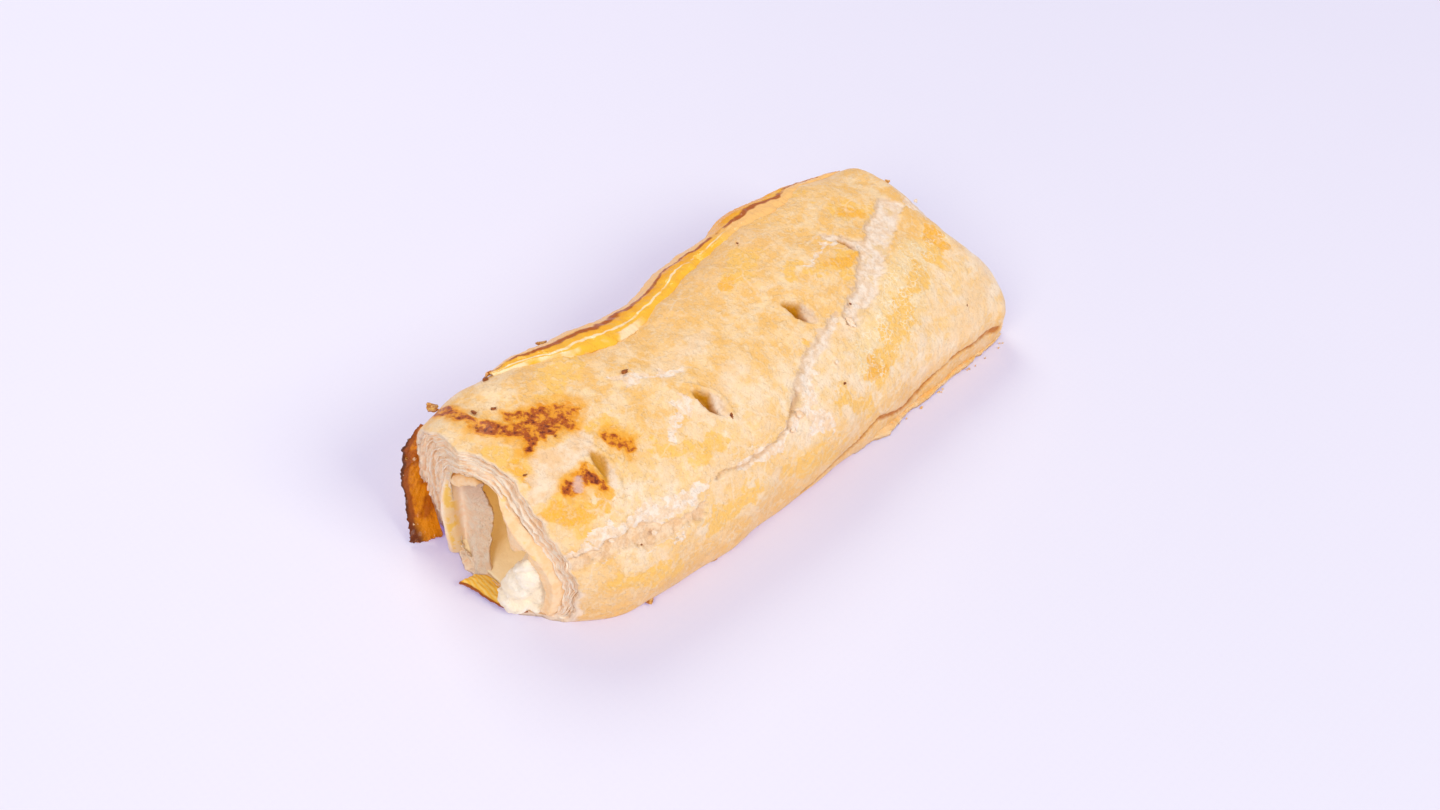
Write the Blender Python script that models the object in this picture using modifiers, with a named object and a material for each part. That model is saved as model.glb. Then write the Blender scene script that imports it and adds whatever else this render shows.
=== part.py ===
"""Cheese piroshki: a long roll of flaky pastry baked round a soft white cheese filling.

The roll lies along +Y with its open cut end towards -Y, and it rests on the XY plane. Sizes
are in millimetres from the roll's own axis. The finished meshes are in metres, and the origin
is the middle of their footprint.
"""
import math

import bmesh
import bpy
from mathutils import Vector

MM = 0.001
FOOTPRINT_MIDDLE = (-2.8, -0.1)

# The roll: its cross-section at five stations, from the open end to the far end.
STATIONS = (-77, -44, -9, 39, 81)
LEFT_SIDE = (-30, -30, -27.5, -36, -32.5)
RIGHT_SIDE = (29.5, 32, 32.3, 29.9, 28)
HEIGHT = (39.5, 38, 36, 36.5, 33)
CROWN_X = (-6, -5.5, -4, -11.5, -19.5)
LEFT_FULLNESS = (3.3, 3.4, 3.2, 3.6, 3.6)
RIGHT_FULLNESS = (1.85, 2.2, 2.4, 2.0, 1.72)
BELLY_Z = 10.5
FOOT_FULLNESS = 5.5
FLAT_BASE = 3
AROUND = 60

# The two cut ends: the front is cut askew, and its sides are turned in.
FRONT_Y = -80.5
FRONT_SKEW = 10
FRONT_LEAN = 0.13
FRONT_CORNER = 14
RIGHT_TURNED_IN = 5
LEFT_TURNED_IN = 6.5
BACK_Y = 80.5
BACK_SKEW = 5.5
BACK_ROUND = 7

# The hollow behind the open end, as its mouth from the foot of the right wall anticlockwise
# and a point inside it, and the tunnel that the filling takes from there to the far end.
MOUTH = ((16, 2.4), (16.2, 9), (13, 15.5), (7, 21.5), (3.4, 27), (0, 32.6), (-5.5, 33.2),
         (-10.5, 28.5), (-12.5, 18), (-11.5, 7), (-4.5, 1.8), (6, 1.6))
MOUTH_MIDDLE = (-2, 10)
HOLLOW_DEPTH = 46
CURTAIN_DEPTH = 14
CURTAIN_FOLD = 1.5
TUNNEL_CENTRE = (2, 13.4)
TUNNEL_HALF = (16.5, 10.2)
BACK_CENTRE = (-5, 12)

# The curd lump at the mouth, in the same order of points as the mouth.
LUMP = ((14, 4.2), (14.2, 8.2), (12, 12.6), (10.6, 14.4), (9.1, 15.2), (7.4, 14.8), (5.4, 13),
        (3.8, 10.4), (2.8, 7.5), (3, 5.4), (5.2, 3.8), (9, 3.4))
LUMP_MIDDLE = (9, 8)
LUMP_FRONT = -82.5
LUMP_REACH = 7
NOSE_LENGTH = 6
NOSE_SHARE = 0.17
TAIL_SHARE = 0.1
CURD_BUMP = 0.5
HOLLOW_GAP = 3.1
WALL_GAP = 0.8

# Knife slits across the top: middle x, y and half length.
SLITS = ((14.6, -54.5, 4.2), (15.5, -23, 4.6), (6.8, 16, 5.4), (-3, 44.2, 4))
SLIT_HALF_WIDTH = 1.5
SLIT_DEPTH = 3.4

# The crack along the right shoulder: x, y and half width of its route.
CRACK = ((-9, 70, 1.0), (0, 55, 1.7), (5, 43, 1.5), (12, 31, 1.3), (16, 20, 1.6), (21, 7, 1.0),
         (26, -3, 0.7), (28, -16, 0.6), (28, -34, 0.5))
CRACK_DEPTH = 0.9

# The baked-on glaze film that stands off the left side, and its scraps at the open end.
FILM_THICKNESS = 0.9
SIDE_FILM_Y = (-74, 72)
SIDE_FILM_Z = (9, 27.5)
SIDE_FILM_GAP = 4
SIDE_FILM_MIDDLE = 16
FIN_HEIGHT = 28
FIN_REACH = 7.2
FIN_CURL = 5
FIN_CURL_Z = 8
FLAP_X = (-3, 15)
FLAP_REACH = 3.8

# The step of the lowest layer along the right side.
FOOT_Y = (18, 83)
FOOT_STEP = 0.8
FOOT_THICKNESS = 1.8


def ease(t):
    t = min(max(t, 0), 1)
    return t * t * (3 - 2 * t)


def mix(a, b, t):
    return a + (b - a) * t


def placed(x, y, z):
    """A point of the roll in the finished frame, in metres."""
    return Vector((x - FOOTPRINT_MIDDLE[0], y - FOOTPRINT_MIDDLE[1], z)) * MM


def along(y, values):
    """Value at y of a smooth curve through one value for each station."""
    y = min(max(y, STATIONS[0]), STATIONS[-1])
    i = max(k for k in range(len(STATIONS) - 1) if STATIONS[k] <= y)
    slopes = []
    for k in (i, i + 1):
        low, high = max(k - 1, 0), min(k + 1, len(STATIONS) - 1)
        slopes.append((values[high] - values[low]) / (STATIONS[high] - STATIONS[low]))
    step = STATIONS[i + 1] - STATIONS[i]
    t = (y - STATIONS[i]) / step
    return ((2 * t ** 3 - 3 * t ** 2 + 1) * values[i] + (3 * t ** 2 - 2 * t ** 3) * values[i + 1]
            + step * ((t ** 3 - 2 * t ** 2 + t) * slopes[0] + (t ** 3 - t ** 2) * slopes[1]))


def right_side(y):
    nearness = 1 - (y - FRONT_Y - FRONT_SKEW) / FRONT_CORNER
    return along(y, RIGHT_SIDE) - RIGHT_TURNED_IN * min(max(nearness, 0), 1.2) ** 2


def left_side(y):
    nearness = 1 - (y - FRONT_Y) / FRONT_CORNER
    return along(y, LEFT_SIDE) + LEFT_TURNED_IN * min(max(nearness, 0), 1.2) ** 2


def swell(y, angle):
    """Soft unevenness of the crust, as a share of the section's radius."""
    return (0.008 * math.sin(0.11 * y + 3 * angle) + 0.006 * math.sin(0.23 * y - 5 * angle + 1)
            + 0.005 * math.sin(0.37 * y + 7 * angle + 2))


def outline(x, z, y):
    """Below 1 inside the roll's cross-section at y, above 1 outside it."""
    crown = along(y, CROWN_X)
    width = right_side(y) - crown if x >= crown else crown - left_side(y)
    rise = along(y, HEIGHT) - BELLY_Z if z >= BELLY_Z else BELLY_Z + FLAT_BASE
    fullness = RIGHT_FULLNESS if x >= crown else LEFT_FULLNESS
    power = along(y, fullness) if z >= BELLY_Z else FOOT_FULLNESS
    return abs((x - crown) / width) ** power + abs((z - BELLY_Z) / rise) ** power


def crust(y, angle):
    """Point (x, z) of the crust where its cross-section at y meets a ray from its middle."""
    c, s = math.cos(angle), math.sin(angle)
    middle = (left_side(y) + right_side(y)) / 2
    near, far = 0, 60
    for step in range(24):
        reach = (near + far) / 2
        inside = outline(middle + reach * c, BELLY_Z + reach * s, y) < 1
        near, far = (reach, far) if inside else (near, reach)
    reach *= 1 + swell(y, angle)
    return middle + reach * c, max(BELLY_Z + reach * s, 0)


def left_wall(y, z):
    """x of the crust's left side at a height."""
    crown = along(y, CROWN_X)
    rise = along(y, HEIGHT) - BELLY_Z if z >= BELLY_Z else BELLY_Z + FLAT_BASE
    power = along(y, LEFT_FULLNESS) if z >= BELLY_Z else FOOT_FULLNESS
    share = max(1 - abs((z - BELLY_Z) / rise) ** power, 0)
    return crown - (crown - left_side(y)) * share ** (1 / power)


def crust_height(x, y):
    """Height of the crust's top at a place in plan."""
    crown = along(y, CROWN_X)
    width = right_side(y) - crown if x >= crown else crown - left_side(y)
    power = along(y, RIGHT_FULLNESS if x >= crown else LEFT_FULLNESS)
    share = max(1 - abs((x - crown) / width) ** power, 0)
    return BELLY_Z + (along(y, HEIGHT) - BELLY_Z) * share ** (1 / power)


def front_plane(x, z):
    """y of the open end's cut: askew in plan, and leaning back on its right side."""
    askew = FRONT_SKEW * ease((x - 9) / 20) + 3.5 * ease((-5.5 - x) / 10)
    lean = mix(-0.09, FRONT_LEAN, min(max((x + 15.5) / 22, 0), 1))
    return FRONT_Y + askew + lean * z


def back_plane(x):
    return BACK_Y + BACK_SKEW * ease((x - 2.5) / 20)


def on_loop(points, t):
    """Point at share t of a smooth closed curve through the given points."""
    n = len(points)
    i = int(t * n) % n
    f = t * n - int(t * n)
    p0, p1, p2, p3 = (points[(i + k) % n] for k in (-1, 0, 1, 2))
    return tuple(0.5 * (2 * b + (c - a) * f + (2 * a - 5 * b + 4 * c - d) * f * f
                        + (3 * b - a - 3 * c + d) * f ** 3)
                 for a, b, c, d in zip(p0, p1, p2, p3))


def loop_by_angle(points, middle):
    """Function from a ray's angle to where the ray from the middle meets the smooth loop."""
    samples = [on_loop(points, k / 360) for k in range(360)]
    turns = sorted((math.atan2(z - middle[1], x - middle[0]) % math.tau, x, z)
                   for x, z in samples)

    def meet(angle):
        angle %= math.tau
        i = sum(1 for turn in turns if turn[0] <= angle)
        a, b = turns[i - 1], turns[i % len(turns)]
        gap = (b[0] - a[0]) % math.tau
        t = (angle - a[0]) % math.tau / gap if gap else 0
        return mix(a[1], b[1], t), mix(a[2], b[2], t)
    return meet


mouth_edge = loop_by_angle(MOUTH, MOUTH_MIDDLE)
lump_edge = loop_by_angle(LUMP, LUMP_MIDDLE)


def tunnel_centre(y):
    shift = ease((y - 10) / 60)
    return [mix(a, b, shift) for a, b in zip(TUNNEL_CENTRE, BACK_CENTRE)]


def tunnel(y, angle, inset=0):
    """Point (x, z) of the filling's oval tunnel at y, well behind the hollow."""
    centre = tunnel_centre(y)
    uneven = 1 + 0.03 * math.sin(0.12 * y + 2 * angle)
    half = [size * uneven - inset for size in TUNNEL_HALF]
    return centre[0] + half[0] * math.cos(angle), centre[1] + half[1] * math.sin(angle)


def outer_ring(share):
    """Ring of the crust at a share of the way from the open end to the far end."""
    ring = []
    for k in range(AROUND):
        angle = math.tau * k / AROUND
        x, z = crust(FRONT_Y, angle)
        start = front_plane(x, z)
        x, z = crust(BACK_Y, angle)
        end = back_plane(x)
        y = mix(start, end, share)
        x, z = crust(y, angle)
        past = min(max(BACK_ROUND - (end - y), 0), BACK_ROUND)
        drawn_in = 1 - (BACK_ROUND - math.sqrt(BACK_ROUND ** 2 - past ** 2)) / 30
        ring.append((x * drawn_in, y, z * drawn_in))
    return ring


def end_ring(outer, inner, share, depth):
    """Ring of a cut end between its crust and its mouth, pushed in by a depth."""
    ring = []
    for k, (a, b) in enumerate(zip(outer, inner)):
        wave = 0.45 * math.sin(5 * math.tau * k / AROUND + 9 * share)
        edge = 4 * share * (1 - share)
        x, y, z = (mix(p, q, share) for p, q in zip(a, b))
        ring.append((x, y + depth + edge * wave, z))
    return ring


def closing(depth):
    """How far the hollow has closed in on the filling at a depth, from 0 to 1."""
    return ease((depth - CURTAIN_DEPTH) / (HOLLOW_DEPTH - CURTAIN_DEPTH))


def hollow_ring(depth):
    """Ring of the hollow's wall at a depth behind the mouth."""
    ring = []
    closed = closing(depth)
    for k in range(AROUND):
        angle = math.tau * k / AROUND
        x, z = mouth_edge(angle)
        y = front_plane(x, z) + depth
        leftness = ease((2 - x) / 10)
        if depth < CURTAIN_DEPTH:
            x += leftness * CURTAIN_FOLD * math.sin(math.pi * depth / 6.5) ** 2
        else:
            x -= leftness * CURTAIN_FOLD * (1 - closed)
        behind = tunnel(y, angle)
        ring.append((mix(x, behind[0], closed), y, mix(z, behind[1], closed)))
    return ring


def tunnel_ring(y):
    return [(x, y, z) for x, z in (tunnel(y, math.tau * k / AROUND) for k in range(AROUND))]


def pastry_rings():
    """Closed chain of rings: crust, open end, hollow, tunnel and far end."""
    count = 26
    spread = [0.5 - 0.5 * math.cos(math.pi * k / count) for k in range(count + 1)]
    shares = [mix(s, k / count, 0.7) for k, s in enumerate(spread)]
    rings = [outer_ring(share) for share in reversed(shares)]
    front, mouth = rings[-1], hollow_ring(0)
    layers = ((0.1, 0.9), (0.24, -0.5), (0.37, 0.9), (0.5, -0.4), (0.63, 1.5), (0.76, -0.3),
              (0.9, 0.3))
    rings += [end_ring(front, mouth, share, depth) for share, depth in layers]
    rings += [hollow_ring(depth) for depth in (0, 1.3, 2.6, 3.9, 5.2, 6.5, 7.8, 10.4, 13, 15, 20,
                                              26, 33, 40, HOLLOW_DEPTH)]
    rings += [tunnel_ring(y) for y in range(-22, 70, 11)]
    back = [(x, back_plane(x) + 1.5, z) for x, y, z in tunnel_ring(BACK_Y)]
    rings.append([(x, y - 6, z) for x, y, z in back])
    rings.append(back)
    rings += [end_ring(rings[0], back, share, -depth)
              for share, depth in ((0.84, 0), (0.67, 1.4), (0.5, 0.2), (0.33, 1.2), (0.16, 0.3))]
    return rings


def new_material(name, color, roughness):
    material = bpy.data.materials.new(name)
    material.use_nodes = True
    shader = material.node_tree.nodes["Principled BSDF"]
    shader.inputs["Base Color"].default_value = (*color, 1)
    shader.inputs["Roughness"].default_value = roughness
    shader.inputs["Metallic"].default_value = 0
    material.diffuse_color = (*color, 1)
    return material


def finish(obj, name, collection, material=None):
    obj.name = name
    obj.data.name = name
    for owner in list(obj.users_collection):
        owner.objects.unlink(obj)
    collection.objects.link(obj)
    if material:
        obj.data.materials.append(material)
    else:
        obj.hide_render = True
        obj.display_type = "WIRE"
    return obj


def combine(body, tool, operation):
    modifier = body.modifiers.new(tool.name, "BOOLEAN")
    modifier.operation = operation
    modifier.solver = "EXACT"
    modifier.object = tool


def make_pastry(parts):
    """A torus whose tube runs over the crust and back through the tunnel, set ring by ring."""
    rings = pastry_rings()
    bpy.ops.mesh.primitive_torus_add(major_segments=AROUND, minor_segments=len(rings),
                                     major_radius=2, minor_radius=1)
    roll = bpy.context.object
    for vertex in roll.data.vertices:
        x, y, z = vertex.co
        i = round(math.atan2(y, x) / math.tau * AROUND) % AROUND
        j = round(math.atan2(z, math.hypot(x, y) - 2) / math.tau * len(rings)) % len(rings)
        vertex.co = placed(*rings[j][i])
    crust_color = new_material("golden crust", (0.86, 0.62, 0.30), 0.55)
    return finish(roll, "pastry_roll", parts, crust_color)


def sheet(name, tools, columns, rows, surface, thickness=FILM_THICKNESS):
    """A thin wavy sheet: surface gives its middle for u and v from 0 to 1."""
    bpy.ops.mesh.primitive_grid_add(x_subdivisions=columns, y_subdivisions=rows, size=2)
    obj = bpy.context.object
    for vertex in obj.data.vertices:
        vertex.co = placed(*surface((vertex.co.x + 1) / 2, (vertex.co.y + 1) / 2))
    wall = obj.modifiers.new("thickness", "SOLIDIFY")
    wall.thickness = thickness * MM
    wall.offset = 0
    wall.use_even_offset = True
    return finish(obj, name, tools)


def ragged(t, size):
    return size * (math.sin(23 * t + 1) + 0.6 * math.sin(57 * t) + 0.4 * math.sin(91 * t + 2))


def side_film(u, v):
    """Film along the left side: it leaves the crust low down and stands straight up."""
    y = mix(*SIDE_FILM_Y, u)
    top = mix(*SIDE_FILM_Z, 0.6 + 0.4 * math.sin(math.pi * u) ** 0.4)
    z = mix(SIDE_FILM_Z[0], top + ragged(u, 0.5), v)
    gap = 0.8 + (SIDE_FILM_GAP - 0.8) * math.exp(-((y - SIDE_FILM_MIDDLE) / 20) ** 2)
    return left_side(y) + 0.9 - 0.9 * v - gap * v * v + 0.3 * math.sin(17 * u) * v, y, z


def front_fin(u, v):
    """Film left standing in front of the left wall: its foot curls in, to a burnt tip."""
    z = mix(0.6, FIN_HEIGHT, u)
    low = ease((FIN_CURL_Z - z) / FIN_CURL_Z)
    high = ease((z - 18) / 10)
    reach = FIN_REACH + FIN_CURL * low - 3 * high + ragged(u, 0.3)
    x = left_wall(FRONT_Y + 4, z) + 1.6 - 2.4 * v * (1 - high) + 1.5 * FIN_CURL * v * v * low
    return x, FRONT_Y + 7 - v * reach, z


def front_flap(u, v):
    """Film under the open end: it lies on the table and curls up at its left tip."""
    x = mix(*FLAP_X, u)
    outer = FRONT_Y - FLAP_REACH + 3.4 * u + 3 * u ** 6 + ragged(u, 0.25)
    curl = 1.6 * v * v * (1 - u) ** 2
    return x, mix(FRONT_Y + 5, outer, v), 0.55 + 0.3 * (1 - v) + curl


def right_foot(u, v):
    """The lowest dough layer, which steps out under the crust along the right side."""
    y = mix(*FOOT_Y, u)
    fade = math.sin(math.pi * u) ** 0.5
    lobe = 1.3 * math.exp(-((y - 31) / 5) ** 2)
    reach = FOOT_STEP * fade + lobe + ragged(u, 0.25)
    return right_side(y) - 3 + v * (2.2 + reach), y, 1.5 - 0.4 * v


def make_films(tools):
    return [sheet("side film", tools, 30, 4, side_film),
            sheet("front fin", tools, 12, 4, front_fin),
            sheet("front flap", tools, 10, 4, front_flap),
            sheet("right foot", tools, 24, 2, right_foot, FOOT_THICKNESS)]


def make_slit(tools, x, y, half_length):
    """Cutter of one knife slit: a long lens sunk in the crust and tilted with it."""
    bpy.ops.mesh.primitive_uv_sphere_add(segments=14, ring_count=8, radius=1)
    lens = bpy.context.object
    slope = (crust_height(x + 2, y) - crust_height(x - 2, y)) / 4
    for vertex in lens.data.vertices:
        across, lengthwise, down = vertex.co.x, vertex.co.y, vertex.co.z
        lip = crust_height(x, y) + slope * across * half_length
        taper = 1.1 - 0.5 * abs(across)
        vertex.co = placed(x + across * half_length, y + lengthwise * SLIT_HALF_WIDTH * taper,
                           lip + down * SLIT_DEPTH)
    return finish(lens, "slit", tools)


def make_crack(tools):
    """Cutter of the crack: a tube of changing width that runs just under the surface."""
    curve = bpy.data.curves.new("crack route", "CURVE")
    curve.dimensions = "3D"
    curve.bevel_depth = MM
    curve.bevel_resolution = 1
    curve.use_fill_caps = True
    spline = curve.splines.new("POLY")
    spline.points.add(2 * len(CRACK) - 2)
    for k, knot in enumerate(spline.points):
        i = min(k // 2, len(CRACK) - 2)
        x, y, half_width = (mix(a, b, k / 2 - i) for a, b in zip(CRACK[i], CRACK[i + 1]))
        x += 0.7 * math.sin(2.3 * k)
        z = crust_height(x, y) + half_width * 0.55 - CRACK_DEPTH * 0.5
        knot.co = (*placed(x, y, z), 1)
        knot.radius = half_width
    route = bpy.data.objects.new("crack route", curve)
    bpy.context.scene.collection.objects.link(route)
    bpy.context.view_layer.update()
    evaluated = route.evaluated_get(bpy.context.evaluated_depsgraph_get())
    mesh = bpy.data.meshes.new_from_object(evaluated)
    bpy.data.objects.remove(route)
    solid = bmesh.new()
    solid.from_mesh(mesh)
    bmesh.ops.remove_doubles(solid, verts=solid.verts, dist=1e-6)
    solid.to_mesh(mesh)
    solid.free()
    tube = bpy.data.objects.new("crack", mesh)
    bpy.context.scene.collection.objects.link(tube)
    return finish(tube, "crack", tools)


def curd(direction):
    """Lumpiness of the cheese in one direction."""
    x, y, z = direction
    return (math.sin(5 * x + 2 * z) * math.sin(6 * z - 2) + 0.6 * math.sin(11 * x + 3)
            * math.sin(9 * z + 5 * y))


def make_cheese(parts):
    """A sphere drawn out along the tunnel: a curd lump in the mouth, then the tunnel's oval."""
    bpy.ops.mesh.primitive_uv_sphere_add(segments=32, ring_count=30, radius=1,
                                         rotation=(math.pi / 2, 0, 0))
    bpy.ops.object.transform_apply(rotation=True)
    cheese = bpy.context.object
    back = BACK_Y - 1.5
    for vertex in cheese.data.vertices:
        unit = vertex.co.copy()
        angle = math.atan2(unit.z, unit.x)
        lengthwise = math.acos(min(max(-unit.y, -1), 1)) / math.pi
        nose = min(lengthwise / NOSE_SHARE, 1) * math.pi / 2
        tail = min((1 - lengthwise) / TAIL_SHARE, 1) * math.pi / 2
        body = (lengthwise - NOSE_SHARE) / (1 - NOSE_SHARE - TAIL_SHARE)
        y = mix(LUMP_FRONT + NOSE_LENGTH, back, min(max(body, 0), 1))
        y -= NOSE_LENGTH * math.cos(nose)
        behind = closing(y - LUMP_FRONT - LUMP_REACH)
        settled = ease((y - FRONT_Y - HOLLOW_DEPTH) / 12)
        core = tunnel(y, angle, mix(HOLLOW_GAP, WALL_GAP, settled))
        section = [mix(a, b, behind) for a, b in zip(lump_edge(angle), core)]
        middle = [mix(a, b, behind) for a, b in zip(LUMP_MIDDLE, tunnel_centre(y))]
        full = math.sin(nose) * math.sin(tail) ** 0.35
        bump = CURD_BUMP * curd(unit) * (1 - behind)
        x, z = (mix(m, p, full * (1 - 0.02 * bump)) for m, p in zip(middle, section))
        lean = FRONT_LEAN * (z - 6) * (1 - ease((y - LUMP_FRONT) / 20))
        vertex.co = placed(x, y + lean + bump * (1 - full), z)
    curd_color = new_material("white cheese", (0.90, 0.84, 0.66), 0.5)
    return finish(cheese, "cheese_filling", parts, curd_color)


for old in list(bpy.data.objects):
    bpy.data.objects.remove(old)
parts = bpy.data.collections.new("cheese piroshki")
tools = bpy.data.collections.new("shaping tools")
for collection in (parts, tools):
    bpy.context.scene.collection.children.link(collection)

pastry = make_pastry(parts)
for film in make_films(tools):
    combine(pastry, film, "UNION")
for slit in SLITS:
    combine(pastry, make_slit(tools, *slit), "DIFFERENCE")
combine(pastry, make_crack(tools), "DIFFERENCE")
make_cheese(parts)
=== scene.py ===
"""The looks of a cheese piroshki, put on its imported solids. Lengths are in millimetres."""

import math

import bpy
import numpy as np
from mathutils import Matrix, Vector, noise


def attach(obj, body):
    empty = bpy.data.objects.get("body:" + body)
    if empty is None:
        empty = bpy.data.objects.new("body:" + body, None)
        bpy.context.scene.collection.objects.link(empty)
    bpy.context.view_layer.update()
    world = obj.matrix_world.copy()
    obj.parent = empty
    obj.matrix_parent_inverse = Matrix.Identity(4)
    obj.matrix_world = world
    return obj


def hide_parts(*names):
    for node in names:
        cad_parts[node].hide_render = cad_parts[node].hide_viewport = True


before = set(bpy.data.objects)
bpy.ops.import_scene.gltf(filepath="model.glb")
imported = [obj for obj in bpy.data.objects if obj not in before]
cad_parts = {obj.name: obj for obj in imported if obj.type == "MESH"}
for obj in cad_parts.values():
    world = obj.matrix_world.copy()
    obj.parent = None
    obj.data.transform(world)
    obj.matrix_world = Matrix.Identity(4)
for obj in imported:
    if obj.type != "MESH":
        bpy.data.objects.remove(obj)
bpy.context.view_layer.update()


# The table, the daylight and the camera.
# The roll lies on a smooth pale lavender board among three large soft lamps. The camera looks
# down on it from the right of its open end.
MM = 0.001
TABLE_SIZE = 4000
WEAVE = 6
TABLE_COLOR, TABLE_GLOW = (0.785, 0.78, 0.64), 0.27
AMBIENT_COLOR = (0.91, 0.875, 1.05, 1)
AMBIENT = 0.435
# Each lamp: its bearing and height in degrees, its size, and its power in watts.
LAMPS = ((-103, 45, 950, 13.2), (103, 40, 1000, 17.5), (18, 38, 1100, 14.5))
LAMP_DISTANCE, LAMP_COLOR = 2000, (1.0, 0.985, 0.94)
CAMERA_PLACE = Vector((179.9, -196.4, 276)) * MM
CAMERA_BEARING, CAMERA_DIP, CAMERA_ROLL = 42.4, 45.5, 5.1
CAMERA_LENS = 36.125


class Nodes:
    """A shader tree and short ways to add its nodes. An input is a value or an output."""

    def __init__(self, tree):
        self.tree = tree

    def add(self, kind, inputs=None, **settings):
        made = self.tree.nodes.new(kind)
        for name, value in settings.items():
            setattr(made, name, value)
        for name, value in (inputs or {}).items():
            if isinstance(value, bpy.types.NodeSocket):
                self.tree.links.new(value, made.inputs[name])
            else:
                made.inputs[name].default_value = value
        return made

    def blend(self, factor, a, b):
        """The colour between a and b at a factor; each is a colour or an output."""
        a, b = (value if isinstance(value, bpy.types.NodeSocket) else (*value, 1)
                for value in (a, b))
        return self.add("ShaderNodeMix", {0: factor, 6: a, 7: b}, data_type="RGBA").outputs[2]

    def math(self, operation, a, b=0.0):
        return self.add("ShaderNodeMath", {0: a, 1: b}, operation=operation).outputs[0]

    def times(self, a, b):
        return self.math("MULTIPLY", a, b)

    def plus(self, a, b):
        return self.math("ADD", a, b)

    def minus(self, a, b):
        return self.math("SUBTRACT", a, b)

    def stretch(self, value, low, high):
        """A value stretched so that low becomes 0 and high becomes 1, with soft ends."""
        return self.add("ShaderNodeMapRange", {"Value": value, "From Min": low, "From Max": high},
                        interpolation_type="SMOOTHSTEP").outputs["Result"]

    def mark(self, name):
        """A mask that was painted on the piece."""
        return self.add("ShaderNodeAttribute", attribute_name=name).outputs["Fac"]

    def place(self):
        return self.add("ShaderNodeTexCoord").outputs["Object"]

    def bent_place(self, size, reach):
        """The object's own coordinates, pushed about by noise of a size by a reach in mm."""
        place = self.place()
        drift = self.add("ShaderNodeTexNoise", {"Vector": place, "Scale": 1 / (size * MM),
                                                "Detail": 2.0}).outputs["Color"]
        centred = self.add("ShaderNodeVectorMath", {0: drift, 1: (0.5, 0.5, 0.5)},
                           operation="SUBTRACT").outputs[0]
        scaled = self.add("ShaderNodeVectorMath", {0: centred, "Scale": reach * MM},
                          operation="SCALE").outputs[0]
        return self.add("ShaderNodeVectorMath", {0: place, 1: scaled}).outputs[0]

    def part_of(self, vector, axis):
        return self.add("ShaderNodeSeparateXYZ", {"Vector": vector}).outputs[axis]

    def on_sheet(self, axis):
        """How far along (X) or across (Y) its sheet a point lies, from 0 to 1."""
        return self.part_of(self.add("ShaderNodeUVMap", uv_map="UVMap").outputs["UV"], axis)


def mask_group(name, **inputs):
    """A node group with number inputs and a mask output: its nodes, and its inputs."""
    group = bpy.data.node_groups.new(name, "ShaderNodeTree")
    for socket, value in inputs.items():
        made = group.interface.new_socket(socket, in_out="INPUT", socket_type="NodeSocketFloat")
        made.default_value = value
    group.interface.new_socket("Mask", in_out="OUTPUT", socket_type="NodeSocketFloat")
    nodes = Nodes(group)
    return nodes, nodes.add("NodeGroupInput").outputs


BLOTCHES, given = mask_group("blotches", Size=2.0, Detail=3.0, Low=0.4, High=0.6)
pattern = BLOTCHES.add("ShaderNodeTexNoise", {
    "Vector": BLOTCHES.place(), "Scale": BLOTCHES.math("DIVIDE", 1 / MM, given["Size"]),
    "Detail": given["Detail"], "Roughness": 0.6}).outputs["Fac"]
BLOTCHES.add("NodeGroupOutput", {"Mask": BLOTCHES.stretch(pattern, given["Low"], given["High"])})


class Look(Nodes):
    """A material: coats of colour, relief, and plain values set on its shader's sockets."""

    def __init__(self, name, **values):
        self.material = bpy.data.materials.new(name)
        self.material.use_nodes = True
        super().__init__(self.material.node_tree)
        self.shader = self.tree.nodes["Principled BSDF"]
        for socket, value in values.items():
            self.shader.inputs[socket.replace("_", " ")].default_value = value

    def blotches(self, size, low=0.4, high=0.6, detail=3.0):
        """A mask of soft-edged blotches of a size in millimetres."""
        values = {"Size": size, "Low": low, "High": high, "Detail": detail}
        return self.add("ShaderNodeGroup", values, node_tree=BLOTCHES.tree).outputs["Mask"]

    def mottled(self, a, b, *blotches):
        """A colour mottled between two by blotches."""
        return self.blend(self.blotches(*blotches), a, b)

    def coats(self, *coats):
        """Lays coats over the tone, each a mask, how strong it is, and a colour."""
        for mask, strength, color in coats:
            mask = self.mark(mask) if isinstance(mask, str) else mask
            factor = mask if strength == 1 else self.times(mask, strength)
            self.tone = self.blend(factor, self.tone, color)

    def link(self, output, socket):
        self.tree.links.new(output, self.shader.inputs[socket])

    def finish(self, piece, *relief):
        """Puts the material on a piece, with relief of (height output, depth in mm)."""
        self.link(self.tone, "Base Color")
        below = {}
        for height, depth in relief:
            bump = self.add("ShaderNodeBump", {"Height": height, "Distance": depth * MM,
                                               "Strength": 1.0, **below})
            below = {"Normal": bump.outputs["Normal"]}
            self.link(bump.outputs["Normal"], "Normal")
        piece.data.materials.append(self.material)


bpy.ops.object.select_all(action="DESELECT")
bpy.ops.mesh.primitive_plane_add(size=TABLE_SIZE * MM, location=(0, 0, -0.02 * MM))
table = bpy.context.object
table.name = "table"
# It glows faintly blue, also in shadow: painted light that keeps its shadows blue.
board = Look("lavender board", Roughness=0.55, Emission_Color=(0.06, 0.02, 1, 1),
             Emission_Strength=TABLE_GLOW)
board.tone = board.mottled(TABLE_COLOR, (0.80, 0.79, 0.65), 300, 0.3, 0.7)
threads = [board.add("ShaderNodeTexWave", {
    "Vector": board.place(), "Scale": 1 / (WEAVE * MM), "Distortion": 1.5},
    bands_direction=way).outputs["Fac"] for way in ("X", "Y")]
board.coats((board.times(*threads), 0.05, (0.70, 0.69, 0.60)))
board.finish(table)


def turned(degrees, axis):
    return Matrix.Rotation(math.radians(degrees), 4, axis)


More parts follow.
